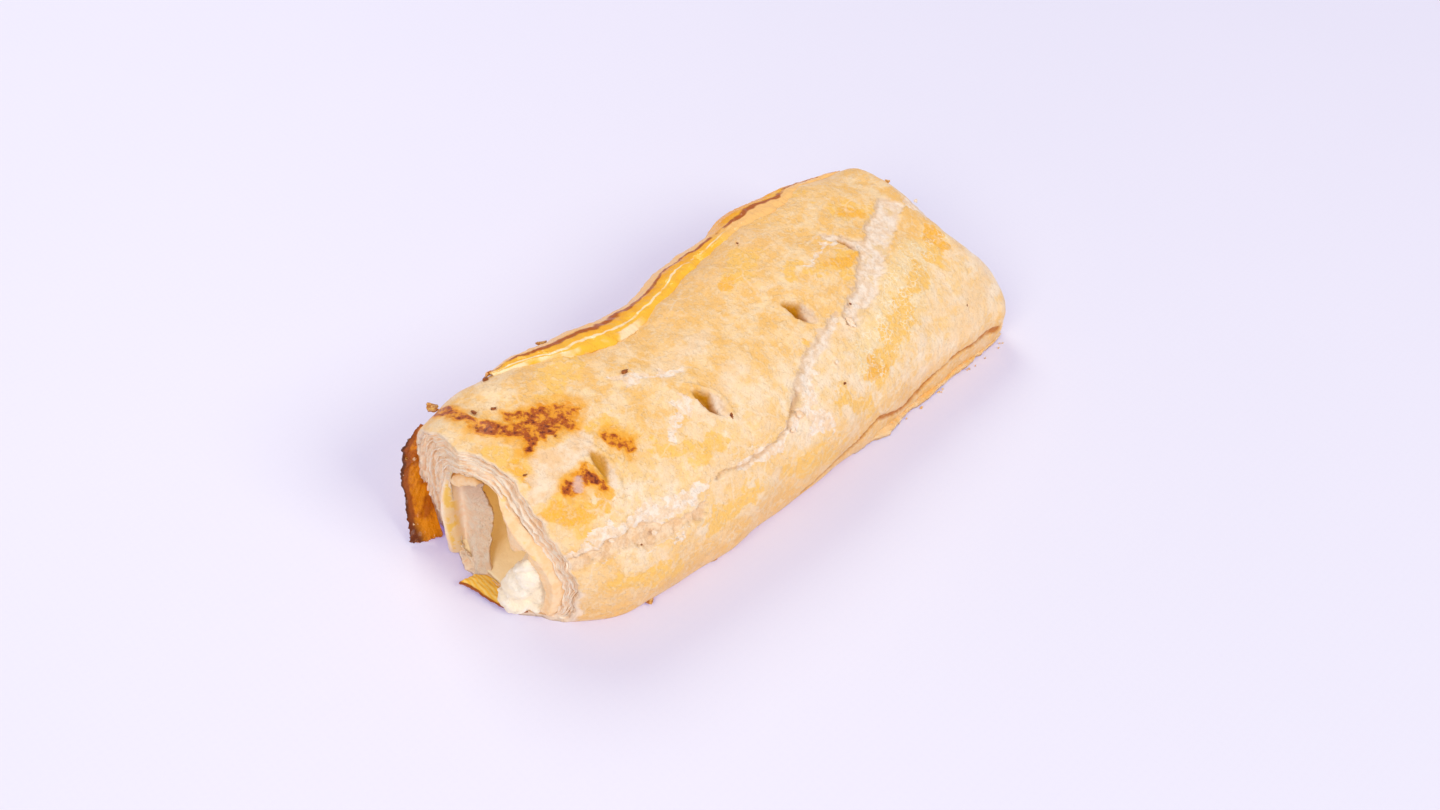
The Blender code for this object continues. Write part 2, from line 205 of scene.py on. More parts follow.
sky = bpy.data.worlds.new("studio")
bpy.context.scene.world = sky
sky.use_nodes = True
sky.node_tree.nodes["Background"].inputs["Color"].default_value = AMBIENT_COLOR
sky.node_tree.nodes["Background"].inputs["Strength"].default_value = AMBIENT
for bearing, height, size, power in LAMPS:
    bpy.ops.object.light_add(type="AREA")
    lamp = bpy.context.object
    lamp.data.shape = "DISK"
    lamp.data.size = size * MM
    lamp.data.energy = power
    lamp.data.color = LAMP_COLOR
    lamp.matrix_world = (turned(bearing, "Z") @ turned(90 - height, "X")
                         @ Matrix.Translation((0, 0, LAMP_DISTANCE * MM)))

bpy.ops.object.camera_add()
camera = bpy.context.object
camera.data.lens = CAMERA_LENS
camera.data.clip_start = 10 * MM
camera.matrix_world = (Matrix.Translation(CAMERA_PLACE) @ turned(CAMERA_BEARING, "Z")
                       @ turned(90 - CAMERA_DIP, "X") @ turned(CAMERA_ROLL, "Z"))
bpy.context.scene.camera = camera
bpy.context.scene.view_settings.view_transform = "Standard"


# The crust: the outer leaf of dough, brushed with egg and baked pale gold.
# It is one sheet wrapped round the roll. It split along the right shoulder as the roll rose,
# and it was slit across the top with a knife before baking.
FOOTPRINT_MIDDLE = np.array((-2.8, -0.1, 0))
STATIONS = np.array((-77, -44, -9, 39, 81))
LEFT_SIDE = (-30, -30, -27.5, -36, -32.5)
RIGHT_SIDE = (29.5, 32, 32.3, 29.9, 28)
HEIGHT = (39.5, 38, 36, 36.5, 33)
CROWN_X = (-6, -5.5, -4, -11.5, -19.5)
LEFT_FULLNESS = (3.3, 3.4, 3.2, 3.6, 3.6)
RIGHT_FULLNESS = (1.85, 2.2, 2.4, 2.0, 1.72)
BELLY_Z, FOOT_FULLNESS, FLAT_BASE = 10.5, 5.5, 3
FRONT_Y, FRONT_SKEW, FRONT_LEAN, FRONT_CORNER = -80.5, 10, 0.13, 14
LEFT_SKEW, LEFT_LEAN = 3.5, -0.09
RIGHT_TURNED_IN, LEFT_TURNED_IN = 5, 6.5
# How far the crust's edge stands back from the cut, as angles round the section and reaches.
EDGE_BACK = ((-40, -13, 8, 25, 41, 61, 79, 95, 120, 150, 185, 230),
             (0.3, 0.9, 0.8, 0.3, 0.9, 2.3, 2.3, 2.1, 1.7, 0.9, 0.3, 0.3))
BACK_Y, BACK_SKEW, BACK_ROUND = 80.5, 5.5, 7
# Slow swells of the crust: each a height as a share, its paces along and round, and its start.
SWELLS = ((0.008, 0.11, 3, 0), (0.006, 0.23, -5, 1), (0.005, 0.37, 7, 2))
# The crust's wall, and how much thicker it is on the top to hold the slits.
CRUST_WALL, SLIT_ROOM = 1.1, 4.8
CRUST_RINGS, INNER_RINGS, CRUST_TOP_COLUMNS, CRUST_BASE_COLUMNS = 306, 22, 258, 30
TOP_ARC = (-25, 205)


def ease(t):
    t = np.clip(t, 0, 1)
    return t * t * (3 - 2 * t)


def mix(a, b, t):
    return a + (b - a) * t


def hump(x, width):
    """1 where x is 0, and falling away smoothly on both sides."""
    return np.exp(-(x / width) ** 2)


def as_points(*coordinates):
    """Points from their coordinates, each a number or an array of numbers."""
    return np.stack(np.broadcast_arrays(*coordinates), axis=-1)


def placed(points):
    """Points of the roll in the finished frame, in metres."""
    return (np.asarray(points, float) - FOOTPRINT_MIDDLE) * MM


def along(y, values):
    """Value at y of a smooth curve through one value for each station."""
    values = np.array(values, float)
    y = np.clip(y, STATIONS[0], STATIONS[-1])
    ends = [0, *range(len(values)), len(values) - 1]
    slopes = ((values[ends[2:]] - values[ends[:-2]])
              / (STATIONS[ends[2:]] - STATIONS[ends[:-2]]))
    i = np.clip(np.searchsorted(STATIONS, y, "right") - 1, 0, len(STATIONS) - 2)
    step = STATIONS[i + 1] - STATIONS[i]
    t = (y - STATIONS[i]) / step
    return ((2 * t ** 3 - 3 * t ** 2 + 1) * values[i] + (3 * t ** 2 - 2 * t ** 3) * values[i + 1]
            + step * ((t ** 3 - 2 * t ** 2 + t) * slopes[i] + (t ** 3 - t ** 2) * slopes[i + 1]))


def right_side(y):
    nearness = 1 - (y - FRONT_Y - FRONT_SKEW) / FRONT_CORNER
    return along(y, RIGHT_SIDE) - RIGHT_TURNED_IN * np.clip(nearness, 0, 1.2) ** 2


def left_side(y):
    nearness = 1 - (y - FRONT_Y) / FRONT_CORNER
    return along(y, LEFT_SIDE) + LEFT_TURNED_IN * np.clip(nearness, 0, 1.2) ** 2


def section_reach(y, c, s):
    """Distance from a section's middle to the crust along rays of cosine c and sine s."""
    crown, left, right = along(y, CROWN_X), left_side(y), right_side(y)
    middle = (left + right) / 2
    near, far = np.zeros_like(c + y), np.full_like(c + y, 60.0)
    for step in range(24):
        reach = (near + far) / 2
        x, z = middle + reach * c, BELLY_Z + reach * s
        on_right, above = x >= crown, z >= BELLY_Z
        width = np.where(on_right, right - crown, crown - left)
        rise = np.where(above, along(y, HEIGHT) - BELLY_Z, BELLY_Z + FLAT_BASE)
        fullness = np.where(on_right, along(y, RIGHT_FULLNESS), along(y, LEFT_FULLNESS))
        fullness = np.where(above, fullness, FOOT_FULLNESS)
        inside = (abs((x - crown) / width) ** fullness
                  + abs((z - BELLY_Z) / rise) ** fullness) < 1
        near, far = np.where(inside, reach, near), np.where(inside, far, reach)
    return middle, reach


def crust(y, angle, inset=0):
    """Point (x, z) of the crust at y along a ray at an angle from the section's middle."""
    c, s = np.cos(angle), np.sin(angle)
    middle, reach = section_reach(y, c, s)
    swell = sum(height * np.sin(lengthwise * y + round_it * angle + shift)
                for height, lengthwise, round_it, shift in SWELLS)
    reach = reach * (1 + swell) - inset
    return middle + reach * c, np.maximum(BELLY_Z + reach * s, np.where(inset > 0, inset, 0))


def front_plane(x, z):
    """y of the open end's cut: askew in plan, and leaning back on its right side."""
    askew = FRONT_SKEW * ease((x - 9) / 20) + LEFT_SKEW * ease((-5.5 - x) / 10)
    lean = mix(LEFT_LEAN, FRONT_LEAN, np.clip((x + 15.5) / 22, 0, 1))
    return FRONT_Y + askew + lean * z


def back_plane(x):
    return BACK_Y + BACK_SKEW * ease((x - 2.5) / 20)


def edge_back(angle):
    return np.interp((np.degrees(angle) + 90) % 360 - 90, *EDGE_BACK)


def crust_start(angle):
    """y of the crust's edge at the open end, which is a little uneven."""
    uneven = 0.2 * np.sin(17 * angle) + 0.15 * np.sin(31 * angle + 1) + 0.1 * np.sin(53 * angle)
    return front_plane(*crust(FRONT_Y, angle)) + edge_back(angle) + uneven


def crust_rings(angle, shares, inset=0):
    """Rings of the crust at shares of the way from the open end to the far end."""
    start = crust_start(angle)
    end = back_plane(crust(BACK_Y, angle)[0])
    y = start + (end - start) * np.reshape(shares, (-1, 1))
    angle = np.broadcast_to(angle, y.shape)
    x, z = crust(y, angle, inset)
    past = np.clip(BACK_ROUND - (end - y), 0, BACK_ROUND)
    drawn_in = 1 - (BACK_ROUND - np.sqrt(BACK_ROUND ** 2 - past ** 2)) / 30
    return as_points(x * drawn_in, y, z * drawn_in)


def wrapped(grid):
    grid = np.concatenate((grid, grid[:1]))
    return np.concatenate((grid, grid[:, :1]), axis=1)


def new_grid(name, columns, rows):
    bpy.ops.object.select_all(action="DESELECT")
    bpy.ops.mesh.primitive_grid_add(x_subdivisions=columns, y_subdivisions=rows, size=2)
    grid = bpy.context.object
    grid.name = grid.data.name = name
    return grid


def weld(reach=0.001, outwards=False):
    """Welds the active object's points closer than a reach in mm, and may turn its faces out."""
    bpy.ops.object.mode_set(mode="EDIT")
    bpy.ops.mesh.select_all(action="SELECT")
    bpy.ops.mesh.remove_doubles(threshold=reach * MM)
    if outwards:
        bpy.ops.mesh.normals_make_consistent(inside=False)
    bpy.ops.object.mode_set(mode="OBJECT")


def add_mark(obj, name, values):
    layer = obj.data.attributes.new(name, "FLOAT", "POINT")
    layer.data.foreach_set("value", np.ravel(values).astype(np.float32))


def paint_masks(obj, **masks):
    for name, values in masks.items():
        add_mark(obj, name, np.clip(values, 0, 1))


def ring_tube(name, rings, **marks):
    """A closed tube through rings of points: a grid wrapped round both ways and welded.
    Each mark is a value for each point, kept as an attribute."""
    count, around = rings.shape[:2]
    tube = new_grid(name, around, count)
    set_points(tube, placed(wrapped(rings).reshape(-1, 3)))
    for mark, values in marks.items():
        add_mark(tube, mark, wrapped(np.broadcast_to(values, (count, around))))
    weld(outwards=True)
    tube.data.shade_smooth()
    return tube


def read_mark(obj, mark):
    values = np.empty(len(obj.data.vertices), np.float32)
    obj.data.attributes[mark].data.foreach_get("value", values)
    return values.astype(float)


def set_points(obj, points):
    obj.data.vertices.foreach_set("co", np.ascontiguousarray(points, np.float32).ravel())
    obj.data.update()


def get_points(obj, what="co"):
    values = np.empty(3 * len(obj.data.vertices), np.float32)
    obj.data.vertices.foreach_get(what, values)
    return values.reshape(-1, 3).astype(float)


def push_out(obj, height):
    """Moves each vertex along its normal by a height in millimetres."""
    set_points(obj, get_points(obj) + get_points(obj, "normal") * height[:, None] * MM)


def fractal(points, fading, finer, octaves):
    """Noise of about -1 to 1 at each point, with octaves that fade and are finer by factors."""
    return np.array([noise.fractal(Vector(p), fading, finer, octaves) for p in points])


def grain(points, size, octaves=3, shift=0):
    """Smooth noise at points in metres, with blobs of a size in millimetres."""
    return fractal(points / (size * MM) + shift, 1.0, 2.0, octaves)


ring = np.radians(np.concatenate((
    np.linspace(*TOP_ARC, CRUST_TOP_COLUMNS, endpoint=False),
    np.linspace(TOP_ARC[1], TOP_ARC[0] + 360, CRUST_BASE_COLUMNS, endpoint=False))))
outside = crust_rings(ring, np.linspace(1, 0, CRUST_RINGS))
inner_shares = np.linspace(0, 1, INNER_RINGS)


def away_from_ends(shares, angle):
    """1 on the top of the roll away from its ends, where slits may go deep; 0 elsewhere."""
    from_end = np.minimum(shares, 1 - shares)[:, None]
    return ease((from_end - 0.02) / 0.08) * ease(np.sin(angle) + 0.3)


inset = CRUST_WALL + SLIT_ROOM * away_from_ends(inner_shares, ring)
inside = crust_rings(ring, inner_shares, inset)
inside[:, :, 1] += np.linspace(0.25, -0.25, INNER_RINGS)[:, None]
on_outside = np.repeat((1.0, 0.0), (len(outside), len(inside)))[:, None]
crust_skin = ring_tube("crust", np.concatenate((outside, inside)), turn=np.degrees(ring),
                       on_outside=on_outside)
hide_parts("pastry_roll")
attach(crust_skin, "root")

# Marks on the crust are routes of (angle round the section in degrees, y, radius).
MM_PER_DEGREE = 0.54
on_outside = read_mark(crust_skin, "on_outside")
turn_of = (read_mark(crust_skin, "turn") + 90) % 360 - 90
spots = get_points(crust_skin)
x_of, length_of, height_of = spots.T / MM
warp = grain(spots, 5, 3) * 1.6 + grain(spots, 1.6, 2, 40) * 0.5
warp_across = grain(spots, 5, 3, 80) * 1.6 + grain(spots, 1.6, 2, 120) * 0.5


def near(route, warped=1.0):
    """How near each vertex is to a route: 1 on it, 0 at its radius, below 0 beyond."""
    best = np.full(len(turn_of), -9.0)
    across = turn_of * MM_PER_DEGREE + warp_across * warped
    lengthwise = length_of + warp * warped
    ends = list(zip(route, route[1:])) or [(route[0], route[0])]
    for (a0, y0, r0), (a1, y1, r1) in ends:
        dx, dy = (a1 - a0) * MM_PER_DEGREE, y1 - y0
        t = (across - a0 * MM_PER_DEGREE) * dx + (lengthwise - y0) * dy
        t = np.clip(t / max(dx * dx + dy * dy, 1e-6), 0, 1)
        far = np.hypot(across - a0 * MM_PER_DEGREE - dx * t, lengthwise - y0 - dy * t)
        best = np.maximum(best, 1 - far / (r0 + (r1 - r0) * t))
    return best * on_outside - 9 * (1 - on_outside)


def marked(*routes, warped=1.0):
    return np.max([near(route, warped) for route in routes], axis=0)


# The split along the right shoulder: wide and floored with pale dough at the far end, and a hair
# crack further on. A trough of torn dough leads on to the open end. The wash never reached the
# bands beside them, a thin leaf has peeled off on the left of the trough, and a flake hangs on.
SPLIT = ((103, 68, 4.4), (87, 57, 4.6), (73, 48.5, 4.4), (63, 41, 4.3), (57, 34, 4.0),
         (52, 28, 2.4))
NARROW_SPLIT = ((57, 24, 1.5), (55, 18.6, 2.0), (52, 12, 2.3), (47, 5.7, 2.0), (42, 0, 1.6),
                (37, -4, 1.0))
SIDE_SPLIT = ((103, 42, 0.8), (96, 45, 1.5), (84, 49, 2.0), (74, 51, 2.0))
HAIR_CRACK = ((42, 0, 0.8), (37, -4, 0.7), (31, -8, 0.55), (28, -15, 0.5), (28, -22.5, 0.45),
              (31, -32, 0.4))
TROUGH = ((19, -70.5, 1.4), (25, -67, 2.0), (27, -62, 2.6), (27, -57, 2.6), (23, -53, 2.4),
          (20, -47.5, 2.2), (20, -42.5, 1.7), (22, -36, 1.2))
UNWASHED = (((46, 8, 2.4), (39, 2, 3.2), (32, -6, 3.0), (25, -12, 2.4), (29, -24, 2.0)),
            ((30, -36, 1.8), (29, -44, 2.6), (31, -51, 2.9), (34, -57, 2.9), (33, -62, 2.8),
             (29, -67, 2.4), (24, -71, 2.0)),
            ((28, 1, 3.0), (17, 4, 3.4)),
            ((60, -34, 2.5), (72, -26, 2.0)), ((88, -20, 2.0), (96, -35, 2.5)),
            ((100, 76, 4.0), (84, 80, 4.0)), ((92, 30, 1.2), (97, 40, 1.2), (94, 46, 1.6)))
FADED = (((22, 74, 6.0), (15, 66, 8.0), (9, 57, 7.0), (4, 46, 4.0)), ((60, 80, 6), (30, 82, 6)),
         ((70, -10, 5), (62, -25, 5)), ((100, -10, 5), (92, -25, 5)))
PEELED = ((83, -53, 2.2), (77, -56, 3.6), (76, -61, 4.4), (72, -65, 4.2), (65, -68.5, 3.6),
          (60, -71, 2.6))
LOOSE_FLAKE = ((62, -61.2, 0.9), (57, -62.6, 1.3))
rough = grain(spots, 3.2, 4, 7)
gaps = SPLIT, NARROW_SPLIT, SIDE_SPLIT
frayed = 0.5 * rough + 0.7 * grain(spots, 1.2, 3, 17) + 0.3
split = ease(marked(*gaps, warped=0.9) * 4.5 + frayed)
# The same gaps a little to the right: what they leave out is the shaded left wall.
shifted = [[(a - 2.2, y + 0.4, r) for a, y, r in gap] for gap in gaps]
shaded = np.clip(split - ease(marked(*shifted, warped=0.9) * 4.5 + frayed), 0, 1)
hair = ease(marked(HAIR_CRACK, warped=0.7) * 3)
in_trough = marked(TROUGH, warped=1.4) + 0.2 * rough
trough = ease(in_trough * 5)
unwashed = ease((marked(*UNWASHED, warped=1.6) + 0.55 * rough - 0.12) * 3.5)
unwashed = np.maximum(unwashed, 0.9 * hump(in_trough + 0.08, 0.16)) * (1 - trough)
faded = ease(marked(*FADED, warped=1.6) * 1.6 + 0.6 * rough)
# The right side kept paler than the left, which the oven browned.
paler = ease((72 - turn_of) / 30) * ease((turn_of + 8) / 25) * ease((length_of + 66) / 12)
paler = np.maximum(paler, ease((70 - turn_of) / 14) * ease((length_of - 30) / 15)
                   * ease((turn_of + 8) / 25))
browned = ease((turn_of - 98) / 32) * ease((42 - length_of) / 20) * ease((length_of + 62) / 20)
peeled = ease((marked(PEELED, warped=1.0) + 0.25 * rough - 0.1) * 6)
loose = ease(marked(LOOSE_FLAKE, warped=0.8) * 3 + 0.5 * rough + 0.2)
bare = split

# Knife slits: each middle's x, y, half its length and width, its depth and its turn in degrees.
SLITS = ((9.2, 17.0, 5.4, 2.3, 4.6, 20), (17.6, -22.0, 5.2, 2.2, 4.4, 20),
         (0.2, 45.7, 4.2, 1.2, 2.6, 20), (16.9, -54.5, 5.4, 1.8, 1.8, -8))
# Inside each slit the crust is painted dark amber, the more so for deeper slits: partly its own
# colour, partly painted shade.
hole, lip = np.zeros(len(spots)), np.zeros(len(spots))
hollow = np.zeros(len(spots))
for x, y, half_length, half_width, depth, degrees in SLITS:
    dx, dy = x_of - x + 0.25 * warp, length_of - y + 0.25 * warp_across
    turn = math.radians(degrees)
    a = (dx * math.cos(turn) + dy * math.sin(turn)) / half_length
    b = (dy * math.cos(turn) - dx * math.sin(turn)) / half_width
    inside_of = 1 - a * a - b * b * (1 + 0.8 * a * a)
    on_top = ease((height_of - 24) / 3) * on_outside
    tail = ease((a - 0.05 + 0.6 * b) / 0.4)
    hollow += depth * np.clip(inside_of, 0, 1) ** 1.1 * on_top * (1 - 0.6 * tail)
    hole = np.maximum(hole, ease(inside_of * 2.6) * min(depth / 2, 1) * on_top * (1 - 0.9 * tail))
    bare = np.maximum(bare, 0.8 * ease((inside_of + 0.1) * 3) * tail * on_top)
    lip += 0.5 * hump(inside_of + 0.55, 0.45) * on_top * (b > 0) * (depth > 1.5)

# Egg wash that pooled and browned: gold pools, deeper gold in them, burnt streaks on the left
# front, and a patch of fine blisters at the right of the split.
GOLD = (((112, 57, 6), (100, 60, 5)), ((85, 41, 5), (73, 37, 4)), ((70, 73, 6), (52, 66, 6)),
        ((51, 57, 7), (31, 38, 8), (22, 27, 6)), ((58, 11, 2.5),), ((114, 11, 6), (120, 20, 6)),
        ((44, -24, 4.5), (43, -31, 5), (57, -40, 4.5)), ((10, -35, 6), (15, -22, 5)),
        ((0, -50, 7), (5, -63, 6)), ((108, -52, 7), (120, -40, 5)), ((104, -69, 6),),
        ((24, 12, 5), (12, 20, 5)), ((95, 25, 6),), ((0, 5, 8), (8, -10, 7)), ((140, 50, 9),),
        ((88, -72, 6), (60, -66, 9), (40, -66, 5)), ((78, -48, 5), (66, -44, 4)),
        ((86, 28, 4), (80, 38, 5), (80, 48, 4)), ((115, 53, 5), (107, 58, 5), (92, 59, 4)),
        ((23, 22, 4), (23, 30, 4)), ((112, 12, 5),))
DEEP_GOLD = (((74, 73, 3.5), (57, 73, 3)), ((80, 40, 3.4), (76, 46, 2.6), (84, 34, 2.4)),
             ((112, 55, 3.2), (102, 58, 2.6)), ((23, 23, 2.6), (23, 30, 2.2)),
             ((115, 9, 2.6),), ((51, 8, 1.2), (53, 12, 1.2)),
             ((50, -69, 3.4), (45, -66, 3.4), (44, -62, 3.2)), ((78, -70, 2.4), (66, -70.5, 2.2)),
             ((60, 12, 1.2),), ((30, 26, 2.5),), ((76, -48, 3.5), (64, -46, 3)),
             ((62, -58, 4), (52, -58, 3.5)), ((97, -63, 5), (98, -55, 4)), ((150, -78, 4),))
SCORCH = (((105, -62, 2.0), (101, -58.5, 2.8), (99, -55, 3.2), (94, -51.5, 2.8)),
          ((105, -71, 2.0), (103, -68, 2.2), (97, -65.5, 2.6), (95, -60, 3.2), (91, -54, 2.6)),
          ((94, -61, 2.6), (89, -64, 2.6), (84, -66, 1.8)),
          ((73, -48.5, 2.0), (69, -47.5, 2.2), (64, -46, 1.9)),
          ((64, -59, 1.6), (61, -61, 2.3), (57, -64.5, 2.2)), ((60, -59, 1.6), (54, -58, 1.5)),
          ((131, -71.8, 1.6), (122, -71.5, 2.0), (115, -71, 1.8), (109, -70.5, 1.6)),
          ((150, -74, 2.2), (140, -72, 1.8), (131, -71.8, 1.4)))
BLISTERED = (((62, 62, 9), (48, 50, 10), (36, 38, 9), (30, 26, 8)), ((68, 74, 7),))
gold = ease(marked(*GOLD, warped=1.6) * 1.2 + 0.35 * rough)
deep_gold = ease(marked(*DEEP_GOLD, warped=1.4) * 1.8 + 0.4 * rough)
streaks = grain(spots * (1, 2.4, 1), 2.6, 4, 21)
scorch = marked(*SCORCH, warped=1.2)
singed = ease(scorch * 0.8 + 0.95 + 0.5 * rough)
scorch = ease(scorch * 1.1 + 0.42 + 0.55 * streaks)
blistered = ease(marked(*BLISTERED) * 2 + 0.2 * rough)
# The sides, low on the right and on the left, are painted a deeper orange than the top: painted
# shade. The browned patch on the left is its own colour.
tanned = np.maximum(ease((16 - turn_of) / 30), ease((turn_of - 128) / 30)) * (1 - unwashed)
tanned = np.maximum(tanned, browned)

# The seam low on the right side, where the crust overlaps the leaf it stands on.
SEAM = ((-6, 79, 1.2), (-3, 70, 0.9), (-2, 60, 0.7), (-3, 52, 0.7), (-8, 44, 1.2),
        (-10, 36, 1.1), (-3, 26, 0.8), (-10, 12, 0.7), (-14, -4, 0.6))
seam = ease(marked(SEAM, warped=0.4) * 2.5 + 0.15 * rough)

# The rim of the open end, low on its right side, stayed pale.
behind_cut = length_of - crust_start(np.radians(turn_of))
rim = ease(1.2 - behind_cut / (0.5 + 0.5 * ease((30 - turn_of) / 40)) + 1.1 * rough)

relief = (0.55 * grain(spots, 17, 2, 60) + 0.22 * grain(spots, 6, 2, 90)
          + 0.07 * grain(spots, 2.2, 2, 11))
relief -= split * (0.8 + 0.10 * grain(spots, 1.3, 3, 31)) + 0.25 * peeled
relief -= 0.5 * relief * split + 0.5 * hair + trough * (0.8 + 0.4 * grain(spots, 2.2, 3, 33))
relief += 0.22 * unwashed * grain(spots, 1.6, 4, 51) - 0.14 * unwashed
relief += 0.07 * blistered * grain(spots, 1.9, 2, 71)
relief += 0.3 * ease(marked(SPLIT, warped=0.9) * 2 + 1.1) * (1 - split)
relief -= 0.6 * seam
relief += lip
relief *= ease((height_of - 0.4) / 3) * on_outside
push_out(crust_skin, relief)
set_points(crust_skin, get_points(crust_skin) - as_points(0, 0, hollow * MM))
paint_masks(crust_skin, bare=bare, unwashed=unwashed, gold=gold, deep_gold=deep_gold, seam=seam,
            scorch=scorch, singed=singed, hole=hole, blistered=blistered, shaded=shaded,
            hair=hair, trough=trough, peeled=peeled, faded=faded, paler=paler, loose=loose,
            cut=1 - on_outside, tanned=tanned, rim=rim)

baked = Look("baked crust", Roughness=0.42, Coat_Roughness=0.17, Specular_IOR_Level=0.25)


def washed_edge(name, size, low, high):
    """A mark broken up by noise of a size, with the crisp edge of dried wash."""
    broken = baked.times(baked.blotches(size, 0.25, 0.75, 8), 0.5)
    return baked.stretch(baked.plus(baked.times(baked.mark(name), 0.6), broken), low, high)


def cell_lines(size, place, low, high):
    """The lines between cells of a size in mm, laid on bent coordinates."""
    cells = baked.add("ShaderNodeTexVoronoi", {"Vector": place, "Scale": 1 / (size * MM)},
                      feature="DISTANCE_TO_EDGE")
    return baked.stretch(cells.outputs["Distance"], low, high)


fleck, patch = baked.blotches(1.5, 0.49, 0.62, 7), baked.blotches(5.0, 0.40, 0.60, 8)
baked.tone = baked.blend(patch, (0.975, 0.69, 0.36), (0.925, 0.52, 0.13))
paler_dough = baked.blend(patch, (0.985, 0.80, 0.58), (0.97, 0.67, 0.31))
# Painted highlights: pale glints along the lines between the blisters.
glint_lines = cell_lines(1.3, baked.bent_place(3, 1.6), 0.12, 0.02)
glints = baked.times(baked.mark("blistered"),
                     baked.times(glint_lines, baked.blotches(2.6, 0.46, 0.58, 4)))
pores = baked.times(baked.blotches(0.8, 0.60, 0.70, 3), baked.blotches(9, 0.40, 0.60, 3))
crackle = baked.times(cell_lines(11, baked.bent_place(6, 5), 0.045, 0.0),
                      baked.blotches(9, 0.44, 0.60, 4))
dusty = baked.stretch(baked.plus(baked.mark("unwashed"), baked.times(fleck, 0.25)), 0.5, 0.9)
chalky = baked.mottled((0.98, 0.87, 0.75), (0.93, 0.68, 0.46), 1.6, 0.40, 0.60, 6)
stained = baked.mottled((0.84, 0.53, 0.28), (0.94, 0.70, 0.46), 2.0, 0.40, 0.62, 6)
veil = baked.mottled((0.965, 0.78, 0.57), (0.91, 0.60, 0.32), 3.5, 0.35, 0.65, 5)
pale = baked.mottled((0.96, 0.81, 0.65), (0.86, 0.62, 0.40), 2.4, 0.36, 0.68, 6)
pale = baked.mottled(pale, (0.88, 0.62, 0.32), 5, 0.52, 0.66, 5)
sliced = baked.mottled((0.90, 0.66, 0.45), (0.95, 0.78, 0.60), 0.9, 0.40, 0.60, 5)
wisps = baked.plus(baked.times(baked.blotches(3.0, 0.35, 0.65, 8), 0.6),
                   baked.times(baked.blotches(0.9, 0.3, 0.7, 6), 0.4))
charred = baked.times(baked.mark("scorch"), baked.plus(0.35, wisps))
# The coats from the bottom up, each its mask, its strength and its colour.
baked.coats(
    ("paler", 0.75, paler_dough),
    ("faded", 0.55, (0.98, 0.79, 0.58)),
    ("tanned", 0.6, (0.90, 0.49, 0.14)),
    (baked.blotches(17, 0.42, 0.60, 6), 0.5, (0.93, 0.52, 0.12)),
    ("blistered", 0.5, (0.99, 0.71, 0.30)),
    (washed_edge("gold", 4.0, 0.52, 0.74), 0.9, (0.975, 0.545, 0.085)),
    (washed_edge("deep_gold", 3.0, 0.48, 0.75), 0.95, (0.95, 0.455, 0.018)),
    (fleck, 0.32, (0.98, 0.79, 0.53)),
    (baked.blotches(0.45, 0.3, 0.7, 3), 0.15, (0.99, 0.84, 0.62)),
    (glints, 0.6, (1.0, 0.91, 0.70)),
    (pores, 0.4, (0.78, 0.38, 0.12)),
    (crackle, 0.3, (0.99, 0.83, 0.63)),
    (dusty, 0.75, chalky),
    ("trough", 0.85, stained),
    ("peeled", 0.9, veil),
    ("bare", 1, pale),
    ("shaded", 0.55, (0.72, 0.45, 0.22)),
    ("hair", 0.7, (0.70, 0.43, 0.22)),
    ("rim", 0.85, (0.96, 0.77, 0.58)),
    ("singed", baked.blotches(2.0, 0.2, 0.55, 6), (0.91, 0.43, 0.05)),
    (baked.stretch(charred, 0.16, 0.50), 1, (0.86, 0.33, 0.012)),
    (baked.stretch(charred, 0.56, 0.92), 1, (0.47, 0.095, 0.004)),
    (baked.stretch(charred, 0.98, 1.22), 1, (0.17, 0.022, 0.003)),
    ("seam", baked.blotches(5, 0.1, 0.5, 5), (0.58, 0.19, 0.015)),
    ("loose", 0.8, (0.80, 0.52, 0.40)),
    # The slits' insides: their own dark amber and painted shade.
    ("hole", 1, (0.60, 0.265, 0.004)),
    (baked.stretch(baked.mark("cut"), 0.3, 0.6), 1, sliced))
washed = baked.minus(1.0, baked.math("MAXIMUM", baked.mark("bare"), dusty))
shine = baked.plus(baked.times(baked.mark("blistered"), 0.12), 0.14)
baked.link(baked.times(washed, shine), "Coat Weight")
wrinkle = baked.times(baked.mark("blistered"), baked.blotches(1.0, 0.3, 0.7, 2))
baked.finish(crust_skin, (baked.blotches(0.45, 0.2, 0.8, 4), 0.07), (wrinkle, 0.08),
             (baked.blotches(2.6, 0.3, 0.7, 4), 0.2), (fleck, 0.08))


# The rolled dough: what is under the crust, rolled up with the filling before baking.
# Its cut open end shows many thin baked leaves round a hollow, where the cheese settled and
# the dough puffed away from it. It fills the far end almost flat.
MOUTH = ((18.2, 2.0), (18.3, 9), (16.4, 15.5), (12.2, 22), (6.8, 27.5), (1.2, 33.0),
         (-5.5, 33.2), (-10.5, 28.5), (-12.5, 18), (-11.5, 7), (-4.5, 1.6), (6, 1.3))
MOUTH_MIDDLE = (-2, 10)
HOLLOW_DEPTH, CURTAIN_DEPTH = 46, 14
TUNNEL_CENTRE, TUNNEL_HALF, BACK_CENTRE = (2, 13.4), (16.5, 10.2), (-5, 12)
# Daylight that comes through the dough, as a faint glow of the hollow's wall and of the leaves.
LIGHT_THROUGH, THROUGH_COLOR, BETWEEN_COLOR = 0.10, (0.95, 0.60, 0.15), (0.32, 0.15, 0.01)
FLOOR_BACK = 1.4
DOUGH_COLUMNS = 300
UNDER_RINGS, FACE_RINGS, WALL_RINGS, PASSAGE_RINGS, FAR_RINGS = 24, 84, 40, 24, 44
# Two pockets where the leaves baked apart low on the right, each as a share and its depth.
POCKETS = ((0.20, 2.4), (0.45, 1.6))


def between(a, b, c, d, f):
    """A smooth curve from b to c at fractions f, with a before them and d after them."""
    return 0.5 * (2 * b + (c - a) * f + (2 * a - 5 * b + 4 * c - d) * f * f
                  + (3 * b - a - 3 * c + d) * f ** 3)


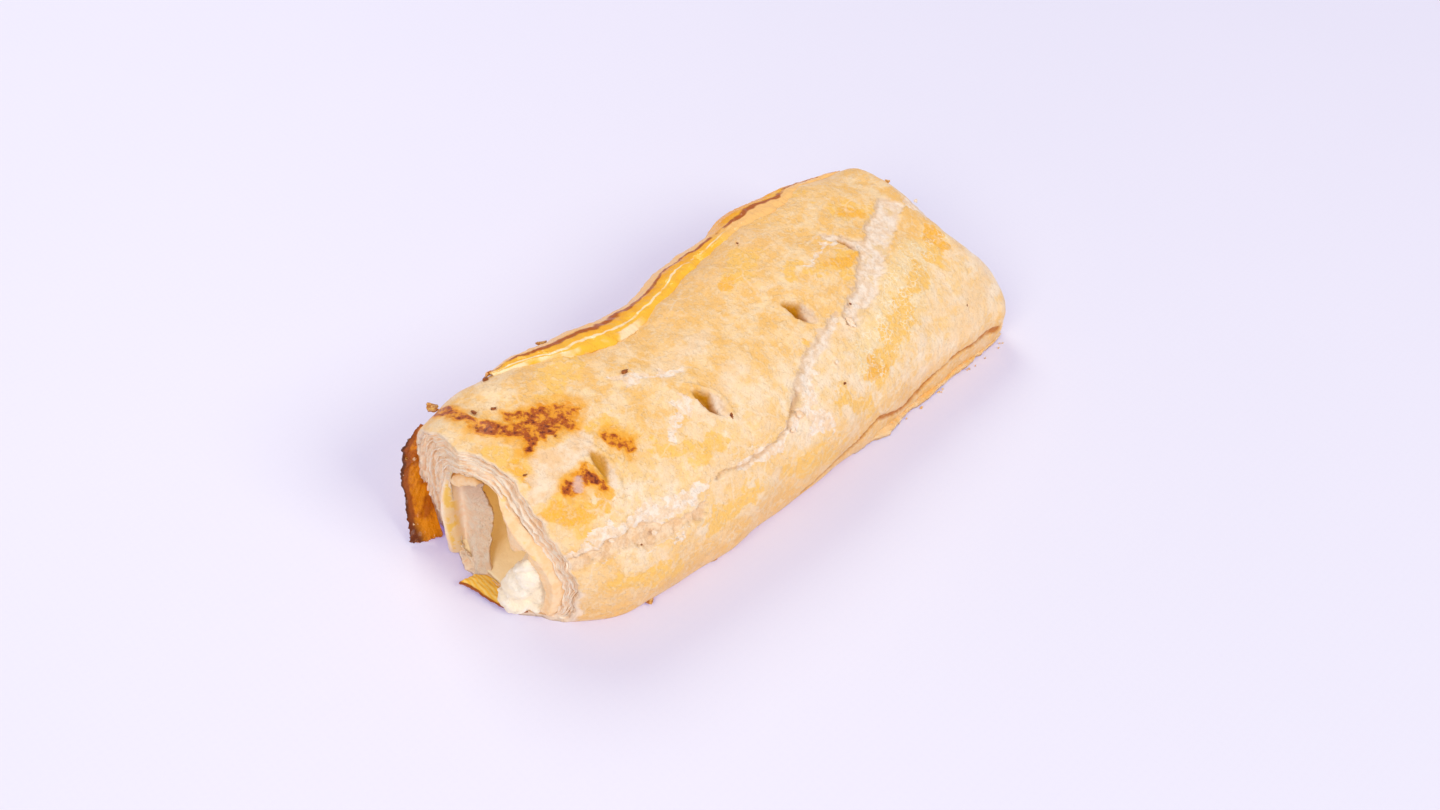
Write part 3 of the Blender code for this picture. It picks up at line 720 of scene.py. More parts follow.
def loop_at(points, middle, angle):
    """Where rays from a middle at given angles meet a smooth loop through the points."""
    t = np.linspace(0, len(points), 720, endpoint=False)
    i, f = t.astype(int), (t % 1)[:, None]
    knots = np.array(points, float)
    loop = between(*(knots[(i + k) % len(points)] for k in (-1, 0, 1, 2)), f)
    turns = np.arctan2(loop[:, 1] - middle[1], loop[:, 0] - middle[0]) % math.tau
    order = np.argsort(turns)
    return [np.interp(angle % math.tau, turns[order], loop[order, k], period=math.tau)
            for k in (0, 1)]


def tunnel(y, angle):
    """Where the passage's wall is at y, as its x and z."""
    shift = ease((y - 10) / 60)
    uneven = 1 + 0.03 * np.sin(0.12 * y + 2 * angle)
    return [mix(TUNNEL_CENTRE[k], BACK_CENTRE[k], shift)
            + TUNNEL_HALF[k] * uneven * (np.cos(angle), np.sin(angle))[k] for k in (0, 1)]


def hollow_rings(angle, depths):
    """Rings of the hollow's wall at depths behind the mouth, one or one for each angle."""
    depth = np.asarray(depths, float)
    depth = depth[:, None] if depth.ndim == 1 else depth
    x, z = loop_at(MOUTH, MOUTH_MIDDLE, angle)
    y = front_plane(x, z) + depth
    closed = ease((depth - CURTAIN_DEPTH) / (HOLLOW_DEPTH - CURTAIN_DEPTH))
    x = x - ease((2 - x) / 10) * 0.8 * ease(depth / 2) * (1 - closed)
    behind = tunnel(y, angle)
    z = np.maximum(mix(z, behind[1], closed), 1.3 + 0.9 * ease(depth / 2))
    return as_points(mix(x, behind[0], closed), y, z)


def front_band(angle, share, depth):
    """Points of the open end at a share of the way from crust to mouth, pushed in by a depth."""
    outer = crust_rings(angle, [0.0], 0.9)[0]
    mouth = hollow_rings(angle, [0.0])[0]
    point = mix(outer, mouth, np.asarray(share)[..., None])
    point[..., 1] += edge_back(angle) * (np.clip(1 - share / 0.8, 0, 1) ** 1.2 - 1 + share)
    depth = depth + FLOOR_BACK * ease((-np.sin(angle - 0.2) - 0.5) * 2.5) * ease(share / 0.4)
    return point + as_points(0, depth, 0)


swirl = np.linspace(0, math.tau, DOUGH_COLUMNS, endpoint=False)
shares = np.linspace(1, 0, UNDER_RINGS)
under_crust = crust_rings(swirl, shares, 0.9 + 5 * away_from_ends(shares, swirl))
under_crust[:, :, 1] += np.linspace(-0.6, 0.6, UNDER_RINGS)[:, None]
face_shares = np.linspace(0, 1, FACE_RINGS)[:, None]
at_right = ease((np.cos(swirl - math.radians(-10)) + 0.35) * 1.4)
bulge = 0.8 * ease(1 - abs(face_shares - 0.87) / 0.13) * at_right
sunken = 1.5 * ease(face_shares / 0.08) * ease((1.04 - face_shares) / 0.05)
low_right = hump((np.degrees(swirl) + 180) % 360 - 168, 38)
for share, depth in POCKETS:
    wander = share + 0.05 * np.sin(5 * swirl + 20 * share)
    sunken = sunken + depth * low_right * hump(face_shares - wander, 0.055)
front_face = np.stack([front_band(swirl, share, sunken[k] - bulge[k])
                       for k, share in enumerate(face_shares[:, 0])])
edge = front_face[-1]
edge_depth = edge[:, 1] - front_plane(edge[:, 0], edge[:, 2])
deeper = np.linspace(0.015, 1, WALL_RINGS)[:, None] ** 1.3
hollow_wall = hollow_rings(swirl, mix(edge_depth, HOLLOW_DEPTH, deeper))
passage_y = np.linspace(-22, 76, PASSAGE_RINGS)[:, None]
passage_x, passage_z = tunnel(passage_y, swirl)
passage = as_points(passage_x, passage_y, passage_z)
far_hole = passage[-1].copy()
far_hole[:, 1] = back_plane(far_hole[:, 0]) + 0.4
far_shares = np.linspace(0, 0.98, FAR_RINGS)[:, None]
far_face = mix(far_hole, under_crust[0], far_shares[..., None])
band_width, far_width = (np.linalg.norm(face[-1] - face[0], axis=-1)
                         for face in (front_face, far_face))
rings = (under_crust, front_face, hollow_wall, passage, far_face)


def on_rings(*values):
    """Values for the dough's five runs of rings, each one number or a grid of them."""
    return np.concatenate([np.broadcast_to(value, run.shape[:2])
                           for value, run in zip(values, rings)])


# The passage's glow fades over its last four rings.
passage_glow = np.append(np.ones(PASSAGE_RINGS - 4), np.linspace(0.7, 0, 4))[:, None]
dough = ring_tube("rolled_dough", np.concatenate(rings), layered=on_rings(0, 1, 0, 0, 1),
                  across=on_rings(0, face_shares * band_width, 0, 0, far_shares * far_width),
                  inside=on_rings(0, 0, 1, passage_glow, 0),
                  buttery=on_rings(0, ease((face_shares - 0.72) / 0.1) * at_right, 0, 0, 0))
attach(dough, "root")


def streaks_along(obj, pitch, length, octaves, shift):
    """Noise drawn out along the leaves: fine across them, long around the roll."""
    x, y, z = get_points(obj).T / MM / length
    return fractal(as_points(read_mark(obj, "across") / pitch, x + shift, z), 0.8, 2.1, octaves)


spots = get_points(dough)
layered = read_mark(dough, "layered") * (1 - 0.85 * read_mark(dough, "buttery"))
push_out(dough, 0.25 * grain(spots, 7, 2, 5) + 0.05 * grain(spots, 0.9, 2, 25)
         + layered * (0.55 * streaks_along(dough, 1.2, 7, 2, 2)
                      + 0.35 * streaks_along(dough, 0.5, 3, 3, 8)))

# Fine streaks that follow the leaves, from their distance under the crust.
LAYERS, given = mask_group("layers", Pitch=1.0)
over = LAYERS.math("DIVIDE", LAYERS.mark("across"), given["Pitch"])
drawn = LAYERS.add("ShaderNodeCombineXYZ", {
    "X": over, "Y": LAYERS.times(LAYERS.part_of(LAYERS.place(), "X"), 0.5 / MM),
    "Z": LAYERS.times(LAYERS.part_of(LAYERS.place(), "Z"), 0.5 / MM)}).outputs["Vector"]
pattern = LAYERS.add("ShaderNodeTexNoise", {"Vector": drawn, "Scale": 1.0, "Detail": 4.0,
                                            "Roughness": 0.65}).outputs["Fac"]
LAYERS.add("NodeGroupOutput", {"Mask": LAYERS.stretch(pattern, 0.32, 0.68)})

raw = Look("soft baked dough", Roughness=0.6, Specular_IOR_Level=0.2,
           Emission_Strength=LIGHT_THROUGH)
wide_layers, layers, fibres = (raw.add("ShaderNodeGroup", {"Pitch": pitch}, node_tree=LAYERS.tree)
                               .outputs["Mask"] for pitch in (0.9, 0.35, 0.3))
raw.tone = raw.blend(wide_layers, (0.925, 0.57, 0.30), (0.99, 0.79, 0.56))
butter = raw.mottled((0.90, 0.60, 0.32), (0.93, 0.68, 0.42), 4, 0.35, 0.65, 4)
wall = raw.mottled((0.92, 0.62, 0.19), (0.96, 0.72, 0.30), 8, 0.35, 0.65, 4)
low_down = raw.stretch(raw.part_of(raw.place(), "Z"), 15 * MM, 3 * MM)
wall = raw.blend(low_down, wall, (0.99, 0.84, 0.56))
raw.coats((layers, 0.6, (0.99, 0.87, 0.72)), ("buttery", 1, butter), ("inside", 1, wall))
warm = raw.blend(raw.mark("layered"), (0, 0, 0), BETWEEN_COLOR)
raw.link(raw.blend(raw.mark("inside"), warm, THROUGH_COLOR), "Emission Color")
raw.finish(dough, (raw.blotches(3, 0.2, 0.8), 0.15),
           (raw.times(fibres, raw.mark("layered")), 0.12))


# The leaves at the open end: dough folded with butter and rolled thin.
# They bake apart, so each stands a little proud of its neighbour or behind it, with a torn edge.
# Each leaf: its share of the way from crust to mouth, and how far it stands out.
LEAVES = ((0.02, 0.35), (0.10, -0.1), (0.17, 0.35), (0.26, -0.4), (0.33, 0.5), (0.45, -0.2),
          (0.52, 0.3), (0.64, -0.3), (0.72, 0.3))
LEAF_WALL = 0.22


def modify(obj, kind, **settings):
    """Applies a modifier of a kind to a piece."""
    bpy.context.view_layer.objects.active = obj
    made = obj.modifiers.new(kind.lower(), kind)
    for name, value in settings.items():
        setattr(made, name, value)
    bpy.ops.object.modifier_apply(modifier=made.name)
    obj.data.shade_smooth()


def sheet(name, columns, rows, surface, wall, round_the_roll=False):
    """A thin sheet: a grid laid on surface(u, v), u and v from 0 to 1, that gets a wall."""
    obj = new_grid(name, columns, rows)
    flat = (get_points(obj) + 1) / 2
    set_points(obj, placed(surface(flat[:, 0], flat[:, 1])))
    if round_the_roll:
        weld()
    modify(obj, "SOLIDIFY", thickness=wall * MM, offset=0)
    return obj


def join(name, pieces):
    """Joins pieces into one."""
    bpy.ops.object.select_all(action="DESELECT")
    for piece in pieces:
        piece.select_set(True)
    bpy.context.view_layer.objects.active = pieces[0]
    bpy.ops.object.join()
    pieces[0].name = pieces[0].data.name = name
    return pieces[0]


def torn(t, size, seed, octaves=5):
    """A torn edge's depth along t, where both t and the size of its notches are in mm."""
    return fractal(as_points(t / size, seed, 0.5), 0.7, 2.2, octaves)


def leaf_surface(number, share, reach):
    def surface(u, v):
        angle = u * math.tau
        around = 20 * as_points(np.cos(angle), np.sin(angle), 0)
        wander, flutter = (
            np.array([noise.noise(Vector(p)) for p in around / size + (0, 0, pace * number)])
            for size, pace in ((9, 3.1), (3, 1.3)))
        ragged = fractal(around / 1.6 + (0, 0, 7.7 * number), 0.7, 2.1, 5)
        front = 1.2 - reach * (1 + 1.2 * wander) - 0.35 * ragged - 0.5 * flutter
        here = share + 0.035 * wander + 0.012 * flutter * (1 - v)
        return front_band(angle, np.clip(here, 0, 0.96), mix(front, 5.0, v))
    return surface


leaves = join("dough_leaves", [sheet(f"leaf_{k}", 420, 7, leaf_surface(k, *leaf), LEAF_WALL, True)
                               for k, leaf in enumerate(LEAVES)])
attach(leaves, "root")
# The leaves, and the flakes that share their look, glow faintly orange: painted light.
flaky = Look("torn dough leaves", Roughness=0.6, Specular_IOR_Level=0.12,
             Emission_Color=(1.0, 0.45, 0.05, 1), Emission_Strength=0.035)
flaky.tone = flaky.mottled((0.94, 0.64, 0.38), (0.97, 0.82, 0.64), 1.8, 0.36, 0.62, 5)
# Painted highlights: the front edges of the leaves are painted near white.
lit_edge_highlight = flaky.times(flaky.stretch(flaky.on_sheet("Y"), 0.14, 0.02),
                         flaky.blotches(2.2, 0.36, 0.56, 4))
flaky.coats((lit_edge_highlight, 0.65, (1.0, 0.90, 0.75)))
flaky.finish(leaves, (flaky.blotches(0.35, 0.2, 0.8, 4), 0.10))


# The curtain: inner leaves that hang in folds on the left of the mouth.
# From the left: a rib, a groove stained yellow by the filling, and a rough white leaf whose
# free edge is torn. It is one sheet through these paths, each a height and its points in x, y.
CURTAIN = ((0.3, ((-15, -78.4), (-12.4, -79.7), (-10.8, -78.4), (-9.2, -76.8), (-3.4, -78.9),
                  (1.1, -76.9))),
           (4.0, ((-14, -77.6), (-11.6, -80.2), (-10.7, -78.6), (-10.2, -76.2), (-6.0, -77.0),
                  (-2.4, -75.9))),
           (8.0, ((-14.5, -77.4), (-12.6, -80.3), (-11.6, -78.6), (-11.5, -75.6), (-7.6, -75.0),
                  (-4.8, -73.0))),
           (14.0, ((-15.5, -77.2), (-13.5, -80.1), (-12.3, -78.5), (-12.0, -75.2), (-8.4, -74.4),
                   (-5.2, -71.8))),
           (20.0, ((-16, -76.6), (-14.1, -79.2), (-12.9, -78.0), (-12.2, -75.3), (-8.6, -74.8),
                   (-5.2, -73.0))),
           (25.0, ((-15.5, -75.5), (-13.9, -77.3), (-12.9, -76.8), (-11.4, -75.4), (-7.6, -75.2),
                   (-4.6, -74.2))),
           (30.5, ((-12, -74.5), (-11.2, -75.2), (-10.2, -75.0), (-8.6, -74.6), (-5.8, -74.8),
                   (-3.2, -74.8))))
CURTAIN_HEIGHTS = np.array([height for height, path in CURTAIN])
CURTAIN_PATHS = np.array([path for height, path in CURTAIN], float)
CURTAIN_WALL = 0.55


def smooth_through(knots, t):
    """Points of a smooth curve through knots, t running from 0 to 1."""
    at = np.clip(t, 0, 1) * (len(knots) - 1)
    i = np.minimum(at.astype(int), len(knots) - 2)
    around = [np.clip(i + k, 0, len(knots) - 1) for k in (-1, 0, 1, 2)]
    if knots.ndim == 3:
        around = [(k, np.arange(len(i))) for k in around]
    return between(*(knots[k] for k in around), (at - i)[:, None])


def curtain_surface(u, v):
    heights = mix(CURTAIN_HEIGHTS[0], CURTAIN_HEIGHTS[-1], v)
    row = np.interp(heights, CURTAIN_HEIGHTS, np.linspace(0, 1, len(CURTAIN_HEIGHTS)))
    knots = np.stack([smooth_through(CURTAIN_PATHS[:, k], row) for k in range(6)])
    tear = torn(heights, 2.8, 3.3, 6) * ease((u - 0.8) / 0.2)
    return as_points(*(smooth_through(knots, u) + tear[:, None] * (0.55, 0.3)).T, heights)


curtain = sheet("curtain", 150, 150, curtain_surface, CURTAIN_WALL)
spots = get_points(curtain)
on_leaf = ease((spots[:, 0] / MM + 6) / 2)
push_out(curtain, (0.16 + 0.2 * on_leaf) * grain(spots, 4, 2, 33)
         + (0.03 + 0.09 * on_leaf) * grain(spots, 1.1, 4, 3))
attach(curtain, "root")
draped = Look("draped dough", Roughness=0.55, Specular_IOR_Level=0.25)
draped.tone = draped.mottled((0.98, 0.70, 0.45), (0.99, 0.81, 0.60), 1.8, 0.36, 0.62, 5)
unrolled, height = draped.on_sheet("X"), draped.part_of(draped.place(), "Z")
# Painted shade: the curtain's top, under the folded tip, is painted darker.
shade_under_tip = draped.times(draped.stretch(unrolled, 0.40, 0.55),
                         draped.stretch(height, 15 * MM, 25 * MM))
stain = draped.times(draped.stretch(unrolled, 0.22, 0.32), draped.stretch(unrolled, 0.56, 0.42))
blob = draped.times(stain, draped.blotches(3.0, 0.46, 0.56, 3))
draped.coats((shade_under_tip, 0.7, (0.78, 0.50, 0.32)), (stain, 0.7, (0.96, 0.66, 0.28)),
             (blob, 0.85, (0.97, 0.60, 0.09)))
rough_leaf = draped.times(draped.blotches(0.7, 0.2, 0.8, 5), draped.stretch(unrolled, 0.55, 0.75))
draped.finish(curtain, (rough_leaf, 0.35), (draped.blotches(2, 0.2, 0.8, 4), 0.08))


# The inner folds: the folded tip over the curtain, and the torn lip of the smooth inner leaf on
# the right with a second leaf on it. They are soft dough that the butter kept smooth.
# The lip hangs over the hollow from these held points to these free ones, each x and z.
LIP_HELD = np.array(((18.9, 1.6), (19.4, 3.8), (19.8, 6.5), (19.9, 10), (19.3, 13.5), (18.0, 17),
                     (16.4, 20), (14.2, 22.8), (11.4, 25.2), (8.8, 27.4), (6.2, 29.8),
                     (4.0, 31.9), (2.2, 33.6)))
LIP_FREE = np.array(((16.9, 2.0), (17.3, 3.6), (17.6, 5.7), (17.8, 9.3), (17.1, 12.3),
                     (15.9, 15.5), (14.4, 18.5), (12.7, 21.3), (9.7, 19.8), (8.0, 23.5),
                     (6.1, 27.2), (4.0, 30.0), (2.2, 32.6)))
LIP_TOOTH, LIP_LENGTH = 0.68, 48


def tip_surface(u, v):
    turn = mix(-0.6, 3.6, v)
    radius = 1.7 * (0.35 + 0.65 * np.sin(math.pi * np.clip(u, 0.05, 0.95)))
    radius = radius * (1 + 0.25 * torn(u * 9 + 3 * v, 3.0, 4))
    x = mix(-13.4, -3.4, u) + 0.4 * np.sin(6 * u + turn)
    z = mix(24.0, 29.4, u ** 0.7) + radius * np.sin(turn)
    return as_points(x, -77.4 + 1.4 * u - 0.9 * radius * np.cos(turn), z)


def lip_surface(number, share, proud):
    """A leaf of the lip that reaches a share of the way to the free points, a little proud."""
    def surface(u, v):
        held, free = smooth_through(LIP_HELD, u), smooth_through(LIP_FREE, u)
        ragged = torn(u * LIP_LENGTH, 2.2, 6.1 + number, 6)
        ragged = ragged * (0.5 + hump(u - LIP_TOOTH, 0.10))
        reach = share * (1 + 0.35 * torn(u * LIP_LENGTH, 9, 2.7 + number, 2) * (share < 1))
        free = mix(held, free, reach[:, None]) + 0.3 * as_points(ragged, 0.6 * ragged)
        early, late = (np.clip(v * 2 - k, 0, 1)[:, None] for k in (0, 1))
        x, z = mix(mix(held + (0.6, 0.5), held, early), free, late).T
        depth = 1.9 - 2.3 * ease(v * 1.8) + 0.7 * ease(late[:, 0]) - proud
        depth = depth + 2.4 * ease((u - 0.8) / 0.2) + 1.6 * ease((0.08 - u) / 0.08)
        return as_points(x, front_plane(x, z) + depth, np.maximum(z, 0.9))
    return surface


inner_folds = join("inner_folds", [sheet("folded_tip", 70, 40, tip_surface, 0.4),
                                   sheet("torn_lip", 260, 26, lip_surface(0, 1, 0), 0.35),
                                   sheet("lip_leaf", 260, 20, lip_surface(5, 0.55, 0.35), 0.25)])
spots = get_points(inner_folds)
push_out(inner_folds, 0.12 * grain(spots, 1.3, 4, 3) + 0.25 * grain(spots, 4, 2, 13))
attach(inner_folds, "root")
# The folds glow faintly orange: painted light.
buttery = Look("buttery dough", Roughness=0.45, Specular_IOR_Level=0.3,
               Emission_Color=(1, 0.62, 0.22, 1), Emission_Strength=0.05)
buttery.tone = buttery.mottled((0.90, 0.57, 0.28), (0.92, 0.67, 0.41), 2.5, 0.36, 0.62, 5)
buttery.coats((buttery.blotches(5, 0.60, 0.66, 2), 0.7, (0.95, 0.60, 0.18)))
buttery.finish(inner_folds, (buttery.blotches(1.2, 0.2, 0.8, 4), 0.12))


# The cheese: soft white curd, baked in the roll and slumped to the right of the mouth.
# Its nose is level with the cut on the left, tucked behind the lip on the right, and a rough
# lump of curds with creases between them.
CURD_SLUMP, CURD_WIDER = (3.0, -1.8, -0.5), 0.2
# Height of the nose's top edge at each x, and how far it stands in from the cut.
CURD_TOP = ((5, 6.6, 9.8, 12.2, 14, 18, 22), (7, 10.1, 14.6, 17.6, 19.8, 19, 16))
CURD_IN = ((6, 13.5, 17), (-1.0, -0.9, 1.4))
# Light that comes through the soft curd, as a glow.
CURD_GLOW = 0.13
# Where the nose's lumps begin, where it slumps from, and where the far end's lumps begin.
NOSE_Y, SLUMP_Y, FAR_Y = -58, -64, 72
bpy.ops.object.select_all(action="DESELECT")
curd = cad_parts["cheese_filling"].copy()
curd.data = curd.data.copy()
curd.name = curd.data.name = "curd_cheese"
curd.parent = None
bpy.context.scene.collection.objects.link(curd)
curd.data.materials.clear()
curd.select_set(True)
bpy.context.view_layer.objects.active = curd
weld(0.01)
modify(curd, "REMESH", mode="VOXEL", voxel_size=0.5 * MM)
modify(curd, "SMOOTH", iterations=8)
spots = get_points(curd)
length_of = spots[:, 1] / MM
at_nose, at_far_end = ease((NOSE_Y - length_of) / 8), ease((length_of - FAR_Y) / 3)
slumped = ease((SLUMP_Y - length_of) / 10)
x, y, z = (spots / MM + FOOTPRINT_MIDDLE + slumped[:, None] * CURD_SLUMP).T
x = x + slumped * np.clip(x - 6, 0, None) * CURD_WIDER
at_x = np.arange(3, 23)
now = [z[(abs(x - middle) < 1.2) & (y < -68)].max(initial=6) for middle in at_x]
lift = np.interp(x, *CURD_TOP) / np.interp(x, at_x, now)
z = z * mix(1, np.clip(lift, 0.7, 1.7), slumped)
stands_in = y - front_plane(x, z)
least, most = stands_in.min(), 8
at_left = ease((11 - x) / 5)
level = np.interp(x, *CURD_IN) - 1.6 * ease((7 - z) / 5) * (1 - 0.8 * at_left)
share = np.clip((stands_in - least) / (most - least), 0, 1)
y = y + np.where(share < 1, level + (most - level) * share ** 2.4 - stands_in, 0)
z = z - slumped * 0.5 * np.clip(8 - z, 0, 6) * (1 - 0.5 * at_left)
set_points(curd, placed(as_points(x, y, np.maximum(z, 0.9 + 0.1 * z))))


def curd_lumps(points, size, seed):
    """How near each point is to a crease between lumps of a size: 1 in it, 0 on a lump."""
    bent = points + as_points(*(grain(points, 0.4 * size, 2, k + seed)
                                for k in (5, 15, 25))) * 0.17 * size * MM
    near_two = np.array([noise.voronoi(Vector(p))[0][:2] for p in bent / (size * MM) + seed])
    return 1 - ease((near_two[:, 1] - near_two[:, 0]) / 0.28)


spots = get_points(curd)
creases, cracks = curd_lumps(spots, 7.5, 3), curd_lumps(spots, 3.2, 8)
crumbly = grain(spots, 1.6, 4, 61)
push_out(curd, at_nose * (0.5 - 0.9 * creases - 0.25 * cracks + 0.4 * grain(spots, 5, 2, 8)
                          + 0.26 * crumbly) - 0.3 * (1 - at_nose)
         - at_far_end * (0.7 * creases + 0.25 * cracks + 0.3 + 0.3 * crumbly))
paint_masks(curd, tucked=ease((spots[:, 1] / MM + 78) / 7),
            crease=np.maximum(creases, 0.3 * cracks) * np.maximum(at_nose, at_far_end))
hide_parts("cheese_filling")
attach(curd, "root")
cheese = Look("white curd", Roughness=0.42, Specular_IOR_Level=0.3,
              Emission_Color=(1, 0.86, 0.66, 1), Emission_Strength=CURD_GLOW)
cheese.tone = cheese.mottled((0.97, 0.88, 0.74), (0.97, 0.82, 0.58), 5, 0.35, 0.65, 4)
# Painted shade: the creases between the curds, and the curd further in from the cut, are painted
# a warmer, darker cream.
cheese.coats(("crease", 0.4, (0.96, 0.76, 0.50)), ("tucked", 0.8, (0.98, 0.78, 0.50)))
cheese.finish(curd, (cheese.blotches(0.6, 0.2, 0.8, 4), 0.2))


# The egg film: wash that ran down the sides, set like brittle amber glass and came away.
# A long strip stands off the left side, a fin is left in front of the left corner, and a flap
# lies on the table under the open end. Their free edges are burnt.
FILM_WALL = 0.45
# The side film at each y: the angles where it leaves the crust and where it ends, how far its
# free edge stands off, and how far across it the brown line runs.
SIDE_FILM = np.array((
    (-56, 134, 142, 0.2, 0.5), (-50, 129, 143, 0.8, 0.5), (-46, 127, 144, 1.2, 0.5),
    (-41, 122, 145, 1.6, 0.52), (-31, 120, 146, 2.0, 0.52), (-22, 122, 148, 2.2, 0.56),
    (-16, 126, 149, 2.6, 0.59), (-9, 130, 150, 3.2, 0.62), (4, 136, 152, 4.8, 0.62),
    (13, 138, 153, 4.6, 0.56), (24, 136, 154, 3.6, 0.45), (33, 134, 154, 4.4, 0.38),
    (44, 134, 153, 3.4, 0.34), (50, 137, 152, 2.4, 0.3), (58, 141, 151, 1.4, 0.35),
    (66, 143, 150, 0.7, 0.4), (73.5, 145, 149, 0.0, 0.4)))
# The lengths of the fin's and the flap's edges.
FIN_LENGTH, FLAP_LENGTH = 34, 20
# The fin, as its held edge and its free edge from the table up: each x, y and z.
FIN_HELD = np.array(((-17.2, -78.4, 0.5), (-21.4, -77.4, 5), (-24.6, -76.6, 10),
                     (-25.9, -76.0, 15), (-25.8, -75.6, 20), (-24.6, -75.4, 25),
                     (-22.5, -75, 29), (-22, -74.4, 31.5)))
FIN_FREE = np.array(((-20.4, -85.8, 0.6), (-23.6, -84.0, 5), (-26.2, -82.4, 10),
                     (-27.0, -81.6, 15), (-27.0, -81.2, 20), (-27.0, -80.6, 25),
                     (-25.6, -78.4, 29), (-25.2, -75.8, 31.5)))
# The flap in the same way, from left to right: each x, y and z.
FLAP_HELD = np.array(((-2.0, -80.2, 1.4), (0.5, -78.0, 1.2), (4, -77, 0.8), (8, -76.5, 0.6),
                      (10.5, -76, 0.5), (12.5, -75.5, 0.5), (13.5, -75, 0.4)))
FLAP_FREE = np.array(((-2.2, -84.3, 2.0), (0.4, -83.3, 1.2), (3.7, -82.5, 0.9),
                      (7.6, -81.5, 0.8), (10.4, -80.5, 0.7), (12.8, -78.9, 0.6), (14, -77, 0.5)))


def side_film(u, v):
    y, held, end, gap, line = smooth_through(SIDE_FILM, u).T
    ragged = torn(y, 6, 2.5, 3) + 0.5 * torn(y, 1.7, 4.5, 4)
    angle = np.radians(mix(held + ragged, end + ragged, v))
    stand = -0.35 + 0.7 * ease(v / 0.12) + (gap + 0.4 * ragged) * v ** 1.3
    x, z = crust(y, angle, -stand - 0.5 * np.sin(math.pi * v) ** 2)
    return as_points(x, y, z)


def front_fin(u, v):
    held, free = smooth_through(FIN_HELD, u), smooth_through(FIN_FREE, u)
    up = u * FIN_LENGTH
    frayed = torn(up, 3.5, 2.2, 4) + (0.8 + 0.6 * ease(0.3 - u)) * torn(up, 0.8, 5.1, 4)
    point = mix(held, free, (v * (1 + 0.07 * frayed * v ** 3))[:, None])
    wave = np.sin(math.pi * v) * (0.7 + 0.8 * torn(up, 9, 1, 2)) + 0.5 * np.sin(11 * u) * v
    point[:, 0] += 0.8 * wave + 0.35 * torn(u * 20 + 6 * v, 2.0, 3)
    point[:, 2] += 1.6 * abs(torn(v * 9, 1.5, 3.3, 5)) * np.exp(-u / 0.04)
    return point


def front_flap(u, v):
    held, free = smooth_through(FLAP_HELD, u), smooth_through(FLAP_FREE, u)
    frayed = torn(u * FLAP_LENGTH, 2.5, 6.2, 5) + 1.5 * hump(u, 0.06)
    point = mix(held, free, (v * (1 + 0.06 * frayed * v ** 3))[:, None])
    point[:, 2] += 0.35 * np.sin(math.pi * v) + 0.07 * np.sin(19 * v + 2.5 * u)
    return point


films = join("egg_film", [sheet("side_film", 420, 40, side_film, FILM_WALL),
                          sheet("front_fin", 110, 40, front_fin, FILM_WALL),
                          sheet("front_flap", 90, 30, front_flap, FILM_WALL)])
spots = get_points(films)
push_out(films, 0.22 * grain(spots, 2.4, 3, 77))
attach(films, "root")
x, y, z = spots.T / MM
on_fin, on_side = ease((-66 - y) / 8) * ease((-8 - x) / 4), ease((y + 62) / 4)
paint_masks(films, on_fin=on_fin, burnt_tip=on_fin * ease((-81 - y) / 3) * ease((9 - z) / 6),
            on_side=on_side, line_at=np.interp(y, SIDE_FILM[:, 0], SIDE_FILM[:, 4]),
            near_part=on_side * ease((-14 - y) / 6), far_part=ease((y - 18) / 12))
# The film glows faintly amber: painted light.
amber = Look("amber egg film", Roughness=0.35, Specular_IOR_Level=0.05, Coat_Weight=0.3,
             Coat_Roughness=0.06, Emission_Color=(1, 0.45, 0.03, 1), Emission_Strength=0.03)
amber.tone = amber.mottled((0.96, 0.50, 0.035), (0.89, 0.36, 0.012), 5, 0.35, 0.65, 4)
across, side, fin = amber.on_sheet("Y"), amber.mark("on_side"), amber.mark("on_fin")
far_part = amber.mark("far_part")
wavering = amber.plus(across, amber.times(amber.blotches(12, 0.3, 0.7, 2), 0.14))
# On the side film: a brown line, a tan leaf on one side of it, and painted highlights: pale lines
# of caught light along it and at its hem.
past = amber.minus(wavering, amber.mark("line_at"))
tan = amber.math("ABSOLUTE", amber.minus(amber.stretch(past, 0.02, 0.06), far_part))
line = amber.times(amber.stretch(past, -0.06, -0.01), amber.stretch(past, 0.10, 0.05))
line = amber.times(line, amber.blotches(7, 0.30, 0.45, 3))
caught = amber.stretch(amber.math("ABSOLUTE", amber.minus(wavering, 0.32)), 0.035, 0.015)
caught = amber.times(caught, amber.blotches(14, 0.42, 0.50, 3))
hem_highlight = amber.times(amber.stretch(across, 0.14, 0.11), amber.blotches(9, 0.40, 0.55, 3))
hem_highlight = amber.times(hem_highlight, amber.mark("near_part"))
pale_line = amber.times(amber.times(amber.math("MAXIMUM", caught, hem_highlight), side),
                        amber.minus(1.0, far_part))
